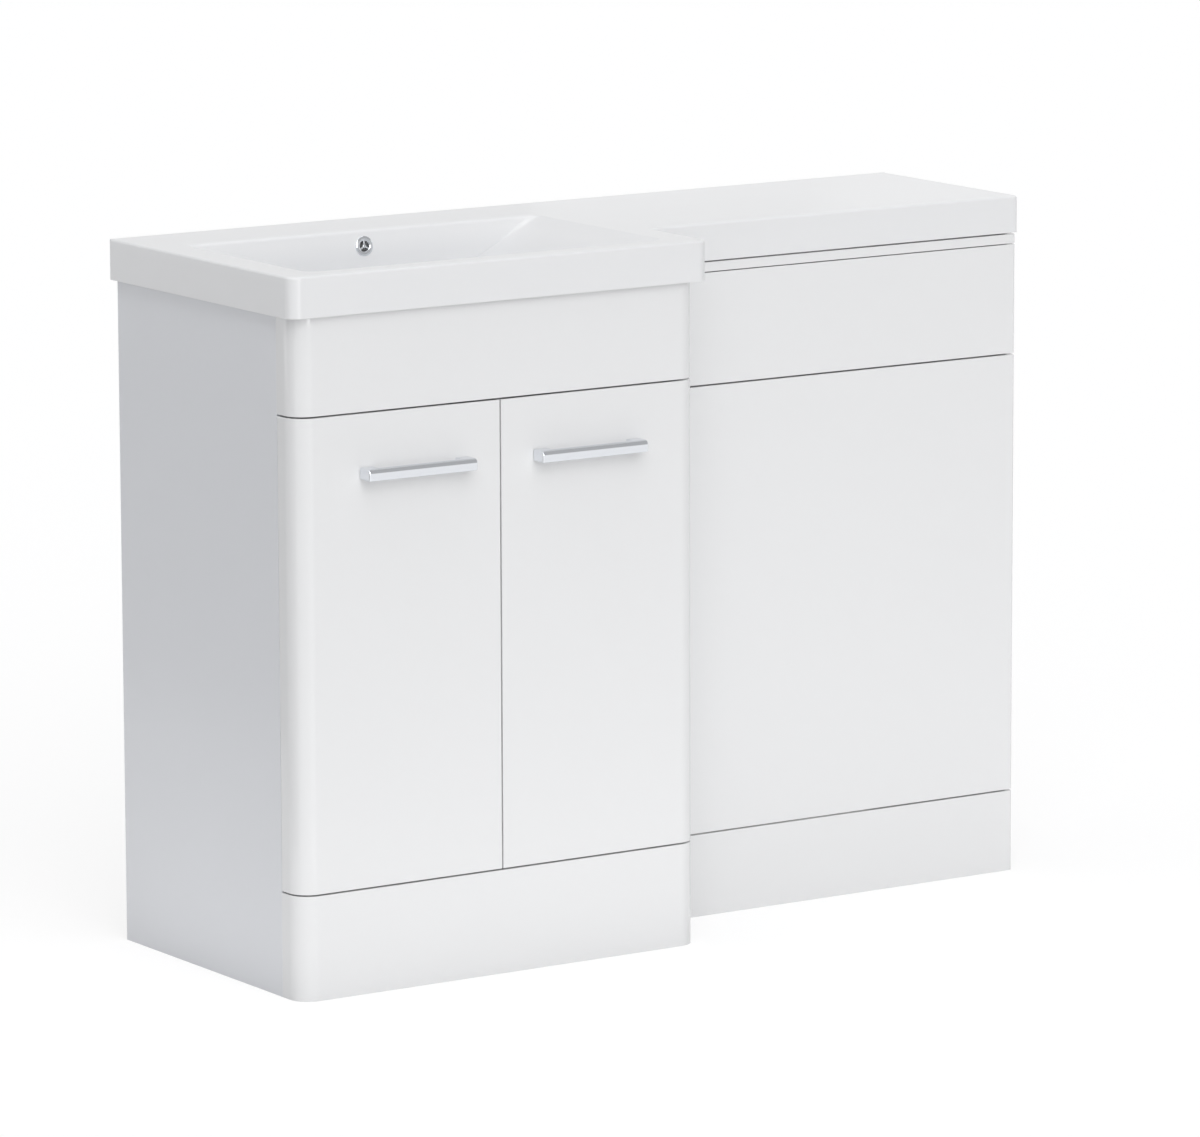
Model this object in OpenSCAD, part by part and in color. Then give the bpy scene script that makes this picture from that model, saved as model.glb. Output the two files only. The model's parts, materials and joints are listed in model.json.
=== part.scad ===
// Fitted run of bathroom furniture: a basin cabinet on the left, a shallower housing
// for a back-to-wall toilet on the right, and one L-shaped top with a bowl over both.
// X runs along the front, Y towards the wall and Z up. All sizes are in millimetres.

/* [Overall] */
// Height of the top surface above the floor
unit_h = 840; // [820:5:880]
// Width of the basin cabinet
basin_w = 550; // [530:5:620]
// Width of the toilet housing
wc_w = 550; // [480:5:650]
// Depth of the basin cabinet, from its front face to the wall
basin_d = 400; // [385:5:440]
// Depth of the toilet housing, from its front face to the wall
wc_d = 280; // [250:5:310]
// Thickness of the carcass boards
board_t = 18; // [16:0.5:19]

/* [Top] */
// Height of the top's skirt at the basin
skirt_h = 48; // [42:1:60]
// Height of the top's skirt over the toilet housing
wc_skirt_h = 45; // [38:1:47]
// How far the top stands out past the cabinet's left side
over_left = 10; // [4:1:16]
// How far the top stands out past the cabinet's right side
over_right = 10; // [4:1:16]
// How far the top stands out past the cabinet's front
over_front = 9; // [4:1:16]
// How far the top stands out past the toilet housing's front and side
wc_over = 2; // [1:0.5:5]
// Radius of the top's two front corners at the basin
top_corner_r = 15; // [10:1:30]
// Radius of the top's corner at the toilet housing
wc_top_r = 6; // [3:0.5:10]
// Thickness of the deck
deck_t = 14; // [10:1:18]
// Width of the ledge by which the top sits on the cabinet
seat_w = 12; // [8:1:14]
// Thickness of the pads between the toilet housing and the top
pad_t = 2; // [1.5:0.5:3]
// Width of those pads
pad_w = 8; // [6:1:10]
// Length of those pads
pad_len = 30; // [20:1:50]
// Distance from the ends of the housing's gables to the pads
pad_inset = 12; // [8:1:20]

/* [Bowl] */
// Distance from the cabinet's left side to the bowl's rim
bowl_from_left = 32; // [26:1:60]
// Distance from the cabinet's right side to the bowl's rim
bowl_from_right = 30; // [26:1:60]
// Distance from the cabinet's front to the bowl's rim
bowl_from_front = 24; // [20:1:32]
// Distance from the wall to the bowl's rim
bowl_from_wall = 100; // [90:1:115]
// Depth of the bowl below the deck
bowl_depth = 100; // [90:1:104]
// Width of the flat floor between the two ramps
bowl_floor_w = 76; // [72:1:110]
// How far the front wall leans in over the bowl's depth
bowl_front_run = 50; // [46:1:60]
// How far the back wall leans in over the bowl's depth
bowl_back_run = 14; // [8:1:20]
// Radius of the bowl's corners in plan
bowl_corner_r = 18; // [8:1:24]
// Thickness of the bowl's shell
bowl_shell_t = 9; // [7:0.5:10]

/* [Overflow] */
// Outer diameter of the overflow ring
ring_d = 24; // [21:0.5:27]
// Diameter of the ring's opening
ring_bore_d = 14; // [11:0.5:15]
// Thickness of the ring's flange
ring_flange_t = 2; // [1.5:0.5:3]
// Diameter of the overflow hole
overflow_d = 18; // [16:0.5:20]
// Depth of the overflow hole's centre below the deck
overflow_drop = 19; // [18:0.5:24]
// Number of spokes in the ring
spoke_count = 3; // [3:1:5]
// Width of a spoke
spoke_w = 2.6; // [1.5:0.1:3]
// Diameter of the hub between the spokes
spoke_hub_d = 5.5; // [4:0.5:7]
// Width of the overflow channel
channel_w = 26; // [22:1:32]
// Depth of the overflow channel
channel_t = 10; // [8:1:12]
// Height of the channel's run under the floor
channel_run_h = 8; // [6:1:10]
// Thickness of the channel's outer walls
channel_wall_t = 5; // [4:0.5:6]
// Distance from the bowl's rim to the overflow channel
channel_setback = 6; // [5:0.5:8]
// Height of the overflow channel above its hole
channel_over = 1; // [0.5:0.5:3]
// Wall of the sleeve behind the ring's flange
sleeve_t = 1; // [0.8:0.1:1.5]
// How far the sleeve ends short of the shell's outside
sleeve_short = 2; // [1:0.5:3]
// Thickness of the web that joins the ring's flange, sleeve and spokes
web_t = 0.5; // [0.3:0.1:0.8]

/* [Waste] */
// Diameter of the waste flange
flange_d = 63; // [58:1:68]
// Thickness of the waste flange
flange_t = 2.5; // [2:0.5:3]
// Outer diameter of the waste's thread, 1 1/4 inch pipe
waste_d = 41.9; // [38:0.1:44]
// Wall of the waste tube
waste_wall_t = 2.5; // [2:0.5:3.5]
// Length of the waste below the bowl's floor
waste_len = 85; // [75:1:95]
// Chamfer of the waste's mouth
waste_mouth = 3; // [2:0.5:4]
// Radial play of the waste in its hole
waste_play = 1; // [0.5:0.5:2]
// How far the boss under the bowl stands out past the flange
boss_over = 3.5; // [2:0.5:6]
// Width of the waste's overflow slots
slot_w = 10; // [6:1:14]
// Free height above and below the overflow slots
slot_play = 1; // [0.5:0.5:2]
// Diameter of the plug's cap
plug_d = 52; // [48:1:56]
// Thickness of the plug's cap at its middle
plug_t = 5; // [4:0.5:7]
// Height of the dome on the plug's cap
plug_crown = 2; // [1:0.5:3]
// Chamfer of the cap's lower edge
plug_edge = 1; // [0.5:0.5:1.5]
// Free space under the closed cap
plug_gap = 0.3; // [0.2:0.1:1]
// Diameter of the plug's stem
plug_stem_d = 8; // [6:0.5:10]
// Length of the plug's stem
plug_stem_len = 44; // [40:1:50]
// Diameter of the guide that the stem slides in
guide_d = 15; // [13:0.5:17]
// Height of the guide
guide_h = 10; // [8:1:14]
// Depth of the guide's top below the bowl's floor
guide_drop = 26; // [25:1:28]
// Width of the arms that carry the guide
guide_arm_w = 3; // [2:0.5:4]
// Thickness of the sealing washer
seal_t = 3; // [2:0.5:4]
// Diameter of the sealing washer
seal_d = 60; // [56:1:66]
// Width of the back nut across its corners
nut_d = 62; // [58:1:68]
// Height of the back nut
nut_h = 9; // [7:1:12]
// Width of the groove that parts the fixing thread from the outlet thread
groove_w = 2; // [1:0.5:3]
// Depth of that groove
groove_t = 0.8; // [0.5:0.1:1.2]

/* [Basin front] */
// Thickness of the doors, fascia and plinth
front_t = 18; // [16:0.5:20]
// Depth of the fronts where they return along the cabinet's sides
return_d = 40; // [38:1:50]
// Width of the thick stile behind each return
stile_w = 42; // [41:1:46]
// Radius of the fronts' outer corners
front_r = 25; // [12:1:28]
// Height of the basin plinth
plinth_h = 123; // [100:1:150]
// Height of the fascia above the doors
fascia_h = 114; // [90:1:140]
// Gap above and below the doors
door_gap = 2; // [2:0.5:4]
// Gap between the two doors
split_gap = 2; // [2:0.5:4]
// Gap between a door's return and the gable
return_gap = 1; // [0.8:0.1:2]
// Joint between a fixed front and the gable
fixed_gap = 0.2; // [0.1:0.1:0.5]
// Gap between the closed doors and the board edges behind them
buffer_t = 1.5; // [1:0.5:3]
// How far the front rail reaches up behind the fascia
fascia_lap = 3; // [1:0.5:5]

/* [Toilet housing front] */
// Height of the housing's plinth
wc_plinth_h = 100.5; // [80:0.5:120]
// Height of the lift-off service panel
service_h = 134; // [110:1:160]
// Gap below and above the lower panel
wc_gap = 2; // [2:0.5:4]
// Fine gap above the service panel
service_gap = 1.2; // [1:0.1:2]
// Height of the fixed lipping above the service panel
lipping_h = 11.3; // [10:0.1:16]
// Gap between the panels and the basin cabinet
side_gap = 0.6; // [0.5:0.1:2]
// Radius of the panels' outer edge
wc_edge_r = 5; // [2:0.5:8]
// Height of the rails behind the panels
wc_rail_h = 80; // [70:1:100]

/* [Handles] */
// Distance between a handle's screws
handle_centres = 128; // [96:32:160]
// Width of a handle's posts
post_w = 18; // [14:1:22]
// How far a handle stands out from its door
handle_reach = 22; // [20:1:32]
// Height of a handle's bar
handle_h = 14; // [12:0.5:18]
// Thickness of a handle's bar
handle_bar_t = 9; // [7:0.5:12]
// Radius of the bar's upper front edge
handle_r = 6; // [3:0.5:7]
// Distance from the gap between the doors to a handle's middle
handle_from_split = 117.5; // [105:0.5:125]
// Distance from a door's top edge to its handle
handle_drop = 68.5; // [50:0.5:90]
// Diameter of the handle screws
handle_screw_d = 4; // [3.5:0.5:5]
// Diameter of the handle screws' heads
handle_head_d = 9; // [8:0.5:11]
// Height of the handle screws' heads
handle_head_h = 2.5; // [2:0.5:4]
// Depth of the screw's bore in a post
handle_screw_bite = 12; // [8:1:14]

/* [Hinges] */
// Diameter of a hinge cup
cup_d = 35; // [34:0.5:36]
// Depth of a hinge cup
cup_depth = 12.5; // [11:0.5:14]
// Distance from a door's outer side to the middle of its cups
cup_from_side = 22; // [21:0.5:23]
// Distance from a door's end to its hinges
hinge_from_end = 100; // [80:5:140]
// Thickness of the cup's bottom and walls
cup_wall_t = 1.5; // [1:0.5:2]
// Reach of the cup's pocket towards the door's outer side
pocket_reach = 10; // [8:0.5:12]
// Arm pin, measured inwards from the door's swing axis
arm_pin_x = 24; // [23:0.5:26]
// Arm pin, measured backwards from the door's swing axis
arm_pin_y = 9; // [8:0.5:10]
// Cup pin, measured inwards from the door's swing axis
cup_pin_x = 26; // [25:0.5:27]
// Cup pin, measured forwards from the door's swing axis
cup_pin_y = 4; // [3.5:0.5:5]
// Diameter of the hinge pins
pin_d = 4; // [3:0.5:4.5]
// Width of the hinge links
link_w = 5.4; // [5:0.1:6]
// Thickness of the outer links
link_t = 2; // [1.5:0.5:2.5]
// Thickness of the middle link
mid_link_t = 4; // [3:0.5:5]
// Free space between neighbouring links and cheeks
link_gap = 0.4; // [0.3:0.1:0.6]
// Free space between the middle link's bend and the cup's rim
bend_gap = 0.5; // [0.4:0.1:1]
// Distance from the cup pin to that bend, measured inwards
bend_run = 5; // [4:0.5:6]
// Depth of a pin's ends in the walls that hold it
pin_bite = 0.5; // [0.3:0.1:1]
// Thickness of the hinge arm's cheeks
cheek_t = 1.5; // [1:0.5:2]
// Diameter of the cheeks' round ends
cheek_d = 7; // [6:0.5:8]
// Length of the cheeks beside the hinge arm's bar
cheek_lap = 3; // [2:0.5:5]
// Length of the hinge arm behind its pin
arm_len = 58; // [50:1:70]
// Thickness of the hinge arm's bar
arm_bar_t = 5; // [4:0.5:6]
// Free space between the outer links and the hinge arm's bar
arm_gap = 1; // [0.5:0.5:2]
// Thickness of the mounting plate
plate_t = 2.4; // [2:0.1:3]
// Length of the mounting plate along the gable
plate_len = 30; // [26:1:36]
// Height of the mounting plate
plate_h = 46; // [44:1:52]
// Distance between the plate's two screws
plate_pitch = 32; // [30:1:34]
// Diameter of the plate's screws
plate_screw_d = 5; // [4.5:0.5:6]
// Distance from the gable's front edge to the plate's screws
plate_setback = 37; // [37:1:45]

/* [Boards and fittings] */
// Depth of the shelf
shelf_d = 250; // [200:5:270]
// Height of the shelf above the cabinet's floor board
shelf_up = 230; // [180:5:260]
// Side clearance of the shelf
shelf_gap = 1; // [0.5:0.5:2]
// Depth of the shelf pins in the gables
shelf_pin_bite = 8; // [6:1:12]
// How far the shelf pins stand out of the gables
shelf_pin_out = 8; // [6:1:12]
// Distance from the shelf's front edge to its front pins
shelf_pin_front = 40; // [25:5:60]
// Distance from the wall to the shelf's back pins
shelf_pin_back = 60; // [50:5:90]
// Height of the back rails
rail_h = 90; // [70:5:110]
// Height of the lower back rail above the floor board
low_rail_up = 40; // [25:5:60]
// Distance from the upper back rail to the wall brackets above it
rail_gap = 10; // [5:1:20]
// Depth of the front rail
front_rail_d = 60; // [50:1:80]
// Diameter of the shelf pins
shelf_pin_d = 5; // [4:0.5:6]
// Diameter of the cam locks
cam_d = 15; // [12:1:16]
// Height of the cam locks
cam_h = 12; // [10:0.5:13]
// Distance from a board's end to its cam locks
cam_setback = 34; // [24:1:34]
// Distance from the floor board's front and back to its cam locks
cam_inset = 60; // [50:5:80]
// Distance from the front rail's back edge to its cam locks
rail_cam_inset = 22; // [16:1:30]
// Diameter of the cam bolts
cam_bolt_d = 6; // [5:0.5:7]
// Length of a cam bolt inside the gable
cam_bolt_bite = 11; // [9:1:12]
// Diameter of the bolts that join the two carcasses
joiner_d = 6; // [5:1:8]
// Diameter of the joining bolts' heads
joiner_head_d = 14; // [12:1:18]
// Thickness of the joining bolts' heads
joiner_head_t = 3; // [2:0.5:4]
// Distance from the housing gable's front edge to the front joining bolts
joiner_front = 50; // [40:5:60]
// Distance from the wall to the back joining bolts
joiner_back = 40; // [30:5:50]
// Distance from the back rails to the joining bolts
joiner_from_rail = 60; // [50:5:80]
// Length of a wall bracket's legs
bracket_leg = 34; // [30:1:40]
// Height of a wall bracket
bracket_h = 36; // [30:1:40]
// Thickness of a wall bracket
bracket_t = 2; // [1.5:0.5:3]
// Diameter of a bracket's wall hole
bracket_hole_d = 7; // [5:0.5:8]
// Distance from a carcass's top to its wall brackets
bracket_drop = 6; // [4:1:12]
// Distance from a bracket's front edge to its screw
bracket_screw_inset = 10; // [8:1:12]
// Diameter of the small wood screws
wood_screw_d = 4; // [3.5:0.5:5]
// Diameter of the small wood screws' heads
wood_head_d = 8; // [7:0.5:9]
// Height of the small wood screws' heads
wood_head_h = 2; // [1.5:0.5:3]
// Length of a small wood screw in the board
wood_screw_bite = 12; // [10:1:14]
// Diameter of the service panel's push-in studs
stud_d = 8; // [6:0.5:10]
// Length of the service panel's studs
stud_len = 12; // [10:1:16]
// Outer diameter of the sockets that hold the studs
socket_d = 14; // [12:1:18]
// Distance from the service panel's ends to its studs
stud_inset = 100; // [80:5:160]
// Distance from the service panel's lower edge to its lower studs
stud_up = 16; // [12:1:24]
// Distance from the lipping down to the upper studs
stud_down = 22; // [16:1:30]
// Free depth behind a stud in its socket
stud_play = 2; // [1:0.5:3]
// Height of the fascia's fixing blocks
block_h = 22; // [18:1:30]
// Length of those blocks
block_len = 33; // [24:1:44]
// Distance between neighbouring blocks
block_pitch = 157; // [120:1:165]
// Diameter of the door buffers
buffer_d = 8; // [6:1:10]
// Distance from the gap between the doors to the buffers
buffer_from_split = 30; // [20:1:60]
// Distance from a door's ends to the buffers
buffer_from_end = 7; // [6:0.5:8]

/* [Hidden] */

$fn = 48;

// Radial clearance of pins, studs and screws in their bores
fit = 0.05;
// Overshoot of a cutting solid past the face that it opens
cut = 1;

total_w = basin_w + wc_w;
carcass_h = unit_h - skirt_h;
wc_front_y = basin_d - wc_d;
wc_back_y = wc_front_y + front_t;

// The origin lies on the floor under the middle of the whole outline
home_x = (total_w + wc_over - over_left) / 2;
home_y = (basin_d - handle_reach) / 2;

// Basin cabinet
gable_y = return_d + return_gap;
inner_l = board_t;
inner_r = basin_w - board_t;
nose_y = front_t + buffer_t;
nose_x = stile_w + buffer_t;
door_z = plinth_h + door_gap;
door_top = carcass_h - fascia_h - door_gap;
door_h = door_top - door_z;
door_w = (basin_w - split_gap) / 2;
floor_top = plinth_h + board_t;
front_rail_top = carcass_h - fascia_h + fascia_lap;
shelf_z = floor_top + shelf_up;
shelf_y = basin_d - shelf_d;
bracket_z = carcass_h - bracket_h - bracket_drop;
rail_z = bracket_z - rail_h - rail_gap;
low_rail_z = floor_top + low_rail_up;
hinge_z = [door_z + hinge_from_end, door_top - hinge_from_end];

// Toilet housing
wc_h = unit_h - wc_skirt_h - pad_t;
wc_inner_l = basin_w + board_t;
wc_inner_r = total_w - board_t;
lipping_z = wc_h - lipping_h;
service_z = lipping_z - service_gap - service_h;
lower_z = wc_plinth_h + wc_gap;
lower_h = service_z - wc_gap - lower_z;
middle_rail_z = service_z - wc_gap / 2 - wc_rail_h / 2;
top_rail_z = wc_h - wc_rail_h;

// Bowl
rim_l = bowl_from_left;
rim_r = basin_w - bowl_from_right;
rim_f = bowl_from_front;
rim_b = basin_d - bowl_from_wall;
bowl_z = unit_h - bowl_depth;
bowl_x = (rim_l + rim_r) / 2;
ramp_run = (rim_r - rim_l - bowl_floor_w) / 2;
waste_y = (rim_f + bowl_front_run + rim_b - bowl_back_run) / 2;
boss_z = bowl_z - bowl_shell_t - channel_run_h - channel_wall_t;
boss_d = flange_d + 2 * boss_over;
waste_hole_d = waste_d + 2 * waste_play;
channel_y = rim_b + channel_setback;
channel_top = unit_h - overflow_drop + overflow_d / 2 + channel_over;
back_lean = atan(bowl_back_run / bowl_depth);
overflow_y = rim_b - bowl_back_run * overflow_drop / bowl_depth;
slot_h = channel_run_h - 2 * slot_play;

// Handles
handle_x = basin_w / 2 - handle_from_split;
handle_z = door_top - handle_drop;

// Hinges: the swing axis is the outer back corner of a door's return
knee_x = arm_pin_x + cup_pin_x;
knee_y = return_d + arm_pin_y - cup_pin_y;
link_z = mid_link_t / 2 + link_gap;
cheek_z = link_z + link_t + link_gap;

// Plan positions of the fittings
cam_y = [gable_y + cam_inset, basin_d - cam_inset];
bracket_hole_x = bracket_leg / 2 + bracket_t;
stud_x = [basin_w + stud_inset, total_w - stud_inset];
stud_z = [service_z + stud_up, lipping_z - stud_down];

// Shared shapes

// Moves the model so that its origin lies on the floor under its middle
module at_home() translate([-home_x, -home_y, 0]) children();

// A box between two opposite corners
module box(from, to) translate(from) cube(to - from);

// The same thing on the other side of the basin cabinet
module other_side() translate([basin_w, 0, 0]) mirror([1, 0, 0]) children();

// Both sides of the basin cabinet
module both_sides() {
    children();
    other_side() children();
}

// What remains of a square corner outside a fillet; the corner is at the origin
module corner_waste(r) difference() {
    translate([-cut, -cut]) square(r + cut);
    translate([r, r]) circle(r);
}

// A cylinder along X, Y or Z that starts at a point
module rod(at, along, d, len) translate(at)
    rotate(along == "x" ? [0, 90, 0] : along == "y" ? [-90, 0, 0] : [0, 0, 0])
        cylinder(d = d, h = len);

// Plan of a left-hand front of a given width, with its thick stile and round corner
module front_plan(w) difference() {
    union() {
        square([w, front_t]);
        square([stile_w, return_d]);
    }
    corner_waste(front_r);
}

// Plan of a front that returns along both sides of the cabinet
module full_front_plan(depth) difference() {
    union() {
        square([basin_w, front_t]);
        square([stile_w, depth]);
        translate([basin_w - stile_w, 0]) square([stile_w, depth]);
    }
    corner_waste(front_r);
    translate([basin_w, 0]) mirror([1, 0]) corner_waste(front_r);
}

// Plan of a board that reaches forward between the door stiles
module nosed_plan(back_y) {
    translate([inner_l, gable_y]) square([inner_r - inner_l, back_y - gable_y]);
    translate([nose_x, nose_y]) square([basin_w - 2 * nose_x, gable_y - nose_y]);
}

// Cam locks: each entry is the board's end, its inward direction, Y and Z of the bolt,
// and the axis of the cam itself
basin_cams = [
    for (s = [[inner_l, 1], [inner_r, -1]]) each [
        for (y = cam_y) [s[0], s[1], y, plinth_h + board_t / 2, "z"],
        [s[0], s[1], gable_y + front_rail_d - rail_cam_inset, front_rail_top - board_t / 2, "z"],
        for (z = [rail_z, low_rail_z])
            [s[0], s[1], basin_d - board_t / 2, z + rail_h / 2, "y"]
    ]
];
wc_cams = [
    for (s = [[wc_inner_l, 1], [wc_inner_r, -1]]) each [
        for (z = [rail_z, low_rail_z])
            [s[0], s[1], basin_d - board_t / 2, z + rail_h / 2, "y"],
        for (z = [top_rail_z, middle_rail_z])
            [s[0], s[1], wc_back_y + board_t / 2, z + wc_rail_h / 2, "y"]
    ]
];

// The round body of each cam lock, grown by a clearance for the hole that takes it
module cams(list, grow = 0) for (c = list)
    if (c[4] == "z")
        rod([c[0] + c[1] * cam_setback, c[2], c[3] - board_t / 2 - grow],
            "z", cam_d + 2 * grow, cam_h + 2 * grow);
    else
        rod([c[0] + c[1] * cam_setback, c[2] - board_t / 2 - grow, c[3]],
            "y", cam_d + 2 * grow, cam_h + 2 * grow);

// The bolt of each cam lock, from the gable to the cam
module cam_rods(list, grow = 0) for (c = list)
    rod([min(c[0] - c[1] * (cam_bolt_bite + grow), c[0] + c[1] * (cam_setback - cam_d / 2)),
         c[2], c[3]],
        "x", cam_bolt_d + 2 * grow, cam_setback - cam_d / 2 + cam_bolt_bite + grow);

// Cuts a board or gable for the cam locks that meet it
module cam_cut(list) difference() {
    children();
    cams(list, fit);
    cam_rods(list, fit);
}

// Holes for the bolts that join the two carcasses
module joiner_holes() for (p = joiner_points)
    rod([inner_r - cut, p[0], p[1]], "x", joiner_d + 2 * fit, 2 * board_t + 2 * cut);
joiner_points = [
    for (y = [wc_back_y + joiner_front, basin_d - joiner_back],
         z = [low_rail_z + rail_h + joiner_from_rail, rail_z - joiner_from_rail]) [y, z]
];

// Shelf pins: [side of the gable, inward direction, Y]
shelf_pin_points = [
    for (s = [[inner_l, 1], [inner_r, -1]],
         y = [shelf_y + shelf_pin_front, basin_d - shelf_pin_back]) [s[0], s[1], y]
];
shelf_pin_z = shelf_z - shelf_pin_d / 2;

module shelf_pin_rods(grow = 0) for (p = shelf_pin_points)
    rod([min(p[0] - p[1] * (shelf_pin_bite + grow), p[0] + p[1] * shelf_pin_out),
         p[2], shelf_pin_z],
        "x", shelf_pin_d + 2 * grow, shelf_pin_bite + shelf_pin_out + grow);

// Hinge plate screws on the left gable
plate_screw_y = gable_y + plate_setback;
module plate_screw_shanks(grow = 0) for (z = hinge_z, s = [-1, 1])
    rod([inner_l - wood_screw_bite - grow, plate_screw_y, z + s * plate_pitch / 2],
        "x", plate_screw_d + 2 * grow, wood_screw_bite + plate_t + grow);

// Wall brackets: [inner face of the gable, inward direction]
bracket_sides = [[inner_l, 1], [inner_r, -1], [wc_inner_l, 1], [wc_inner_r, -1]];
bracket_mid_z = bracket_z + bracket_h / 2;
bracket_screw_y = basin_d - bracket_leg + bracket_screw_inset;
module bracket_shanks(grow = 0) for (s = bracket_sides)
    rod([min(s[0] - s[1] * (wood_screw_bite + grow), s[0] + s[1] * bracket_t),
         bracket_screw_y, bracket_mid_z],
        "x", wood_screw_d + 2 * grow, wood_screw_bite + bracket_t + grow);

// Basin cabinet: boards

module basin_gable_left() color("white") at_home() cam_cut(basin_cams) difference() {
    box([0, gable_y, 0], [board_t, basin_d, carcass_h]);
    shelf_pin_rods(fit);
    plate_screw_shanks(fit);
    bracket_shanks(fit);
}

module basin_gable_right() color("white") at_home() cam_cut(basin_cams) difference() {
    box([inner_r, gable_y, 0], [basin_w, basin_d, carcass_h]);
    shelf_pin_rods(fit);
    other_side() plate_screw_shanks(fit);
    bracket_shanks(fit);
    joiner_holes();
}

module basin_floor_board() color("whitesmoke") at_home() cam_cut(basin_cams)
    translate([0, 0, plinth_h]) linear_extrude(board_t) nosed_plan(basin_d);

module basin_front_rail() color("whitesmoke") at_home() cam_cut(basin_cams)
    translate([0, 0, front_rail_top - board_t]) linear_extrude(board_t)
        nosed_plan(gable_y + front_rail_d);

// A rail across the back of a carcass
module back_rail(from_x, to_x, z)
    box([from_x, basin_d - board_t, z], [to_x, basin_d, z + rail_h]);

module basin_back_rail_upper() color("whitesmoke") at_home()
    cam_cut(basin_cams) back_rail(inner_l, inner_r, rail_z);

module basin_back_rail_lower() color("whitesmoke") at_home()
    cam_cut(basin_cams) back_rail(inner_l, inner_r, low_rail_z);

module basin_shelf() color("whitesmoke") at_home()
    box([inner_l + shelf_gap, shelf_y, shelf_z],
        [inner_r - shelf_gap, basin_d - board_t - shelf_gap, shelf_z + board_t]);

module shelf_pins() color("silver") at_home() shelf_pin_rods();

// Basin cabinet: fixed fronts

module basin_fascia() color("white") at_home() translate([0, 0, carcass_h - fascia_h])
    linear_extrude(fascia_h) full_front_plan(gable_y - fixed_gap);

// Corner blocks that hold the fascia down on the front rail
module fascia_blocks() color("beige") at_home() for (k = [-1, 0, 1])
    translate([basin_w / 2 + k * block_pitch, front_t, front_rail_top])
        rotate([90, 0, 90]) linear_extrude(block_len, center = true)
            polygon([[0, 0], [block_h, 0], [block_h, block_h / 3],
                [block_h / 3, block_h], [0, block_h]]);

module basin_plinth() color("white") at_home()
    linear_extrude(plinth_h) full_front_plan(gable_y - fixed_gap);

// Clear buffers on the board edges that the doors close against
module door_buffers() color("lightgray") at_home()
    for (s = [-1, 1], z = [door_z + buffer_from_end, door_top - buffer_from_end])
        rod([basin_w / 2 + s * buffer_from_split, front_t, z], "y", buffer_d, buffer_t);

// Doors

// The screws that hold a handle, from the head inwards
module handle_shanks(grow = 0) for (s = [-1, 1])
    rod([handle_x + s * handle_centres / 2, -handle_screw_bite - grow, handle_z],
        "y", handle_screw_d + 2 * grow, handle_screw_bite + front_t + 2 * grow);

module left_door() difference() {
    translate([0, 0, door_z]) linear_extrude(door_h) front_plan(door_w);
    handle_shanks(fit);
    for (z = hinge_z)
        rod([cup_from_side, return_d - cup_depth, z], "y", cup_d + 2 * fit, cup_depth + cut);
}

module door_left() color("white") at_home() left_door();

module door_right() color("white") at_home() other_side() left_door();

// Handle: a bar with a rounded upper front edge on two square posts
module one_handle() difference() {
    translate([handle_x, 0, handle_z - handle_h / 2]) union() {
        rotate([90, 0, 90]) linear_extrude(handle_centres + post_w, center = true)
            translate([-handle_reach, 0]) difference() {
                square([handle_bar_t, handle_h]);
                translate([0, handle_h]) mirror([0, 1]) corner_waste(handle_r);
            }
        for (s = [-1, 1]) translate([s * handle_centres / 2 - post_w / 2, 0, 0])
            box([0, -handle_reach + handle_bar_t, 0], [post_w, 0, handle_h]);
    }
    handle_shanks(fit);
}

module handle_left() color("silver") at_home() one_handle();

module handle_right() color("silver") at_home() other_side() one_handle();

module handle_screw_pair() {
    handle_shanks();
    for (s = [-1, 1]) rod([handle_x + s * handle_centres / 2, front_t, handle_z],
        "y", handle_head_d, handle_head_h);
}

module handle_screws_left() color("gray") at_home() handle_screw_pair();

module handle_screws_right() color("gray") at_home() other_side() handle_screw_pair();

// Hinges of the left door; the right door's are their mirror image

// A pin of the hinge, standing on Z and centred on its height
module pivot(x, y, d, len) translate([x, y, 0]) cylinder(d = d, h = len, center = true);

// A flat bar between two points, with round ends
module bar_plan(a, b, w) {
    len = norm(b - a);
    translate(a) rotate(atan2(b[1] - a[1], b[0] - a[0])) translate([0, -w / 2]) square([len, w]);
    translate(a) circle(d = w);
    translate(b) circle(d = w);
}

arm_pin = [arm_pin_x, return_d + arm_pin_y];
cup_pin = [cup_pin_x, return_d - cup_pin_y];
knee_pin = [knee_x, knee_y];
// Where the middle link bends, just clear of the cup's rim
bend = [cup_pin_x + bend_run, return_d + link_w / 2 + bend_gap];

module hinge_cups() for (z = hinge_z) translate([0, 0, z]) {
    difference() {
        rod([cup_from_side, return_d - cup_depth, 0], "y", cup_d, cup_depth);
        box([cup_from_side - pocket_reach, return_d - cup_depth + cup_wall_t, -cheek_z - cheek_t],
            [cup_from_side + cup_d / 2 - cup_wall_t, return_d + cut, cheek_z + cheek_t]);
    }
    pivot(cup_pin[0], cup_pin[1], pin_d, 2 * (cheek_z + cheek_t + pin_bite));
}

module hinge_cup_links() for (z = hinge_z) translate([0, 0, z]) difference() {
    linear_extrude(mid_link_t, center = true) {
        bar_plan(cup_pin, bend, link_w);
        bar_plan(bend, knee_pin, link_w);
    }
    pivot(cup_pin[0], cup_pin[1], pin_d + 2 * fit, mid_link_t + cut);
    pivot(knee_x, knee_y, pin_d + 2 * fit, mid_link_t + cut);
}

module hinge_arm_links() for (z = hinge_z) translate([0, 0, z]) {
    difference() {
        for (s = [-1, 1]) translate([0, 0, s * (link_z + link_t / 2)])
            linear_extrude(link_t, center = true) bar_plan(arm_pin, knee_pin, link_w);
        pivot(arm_pin[0], arm_pin[1], pin_d + 2 * fit, 2 * (cheek_z + cut));
    }
    pivot(knee_x, knee_y, pin_d, 2 * (link_z + link_t));
}

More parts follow.
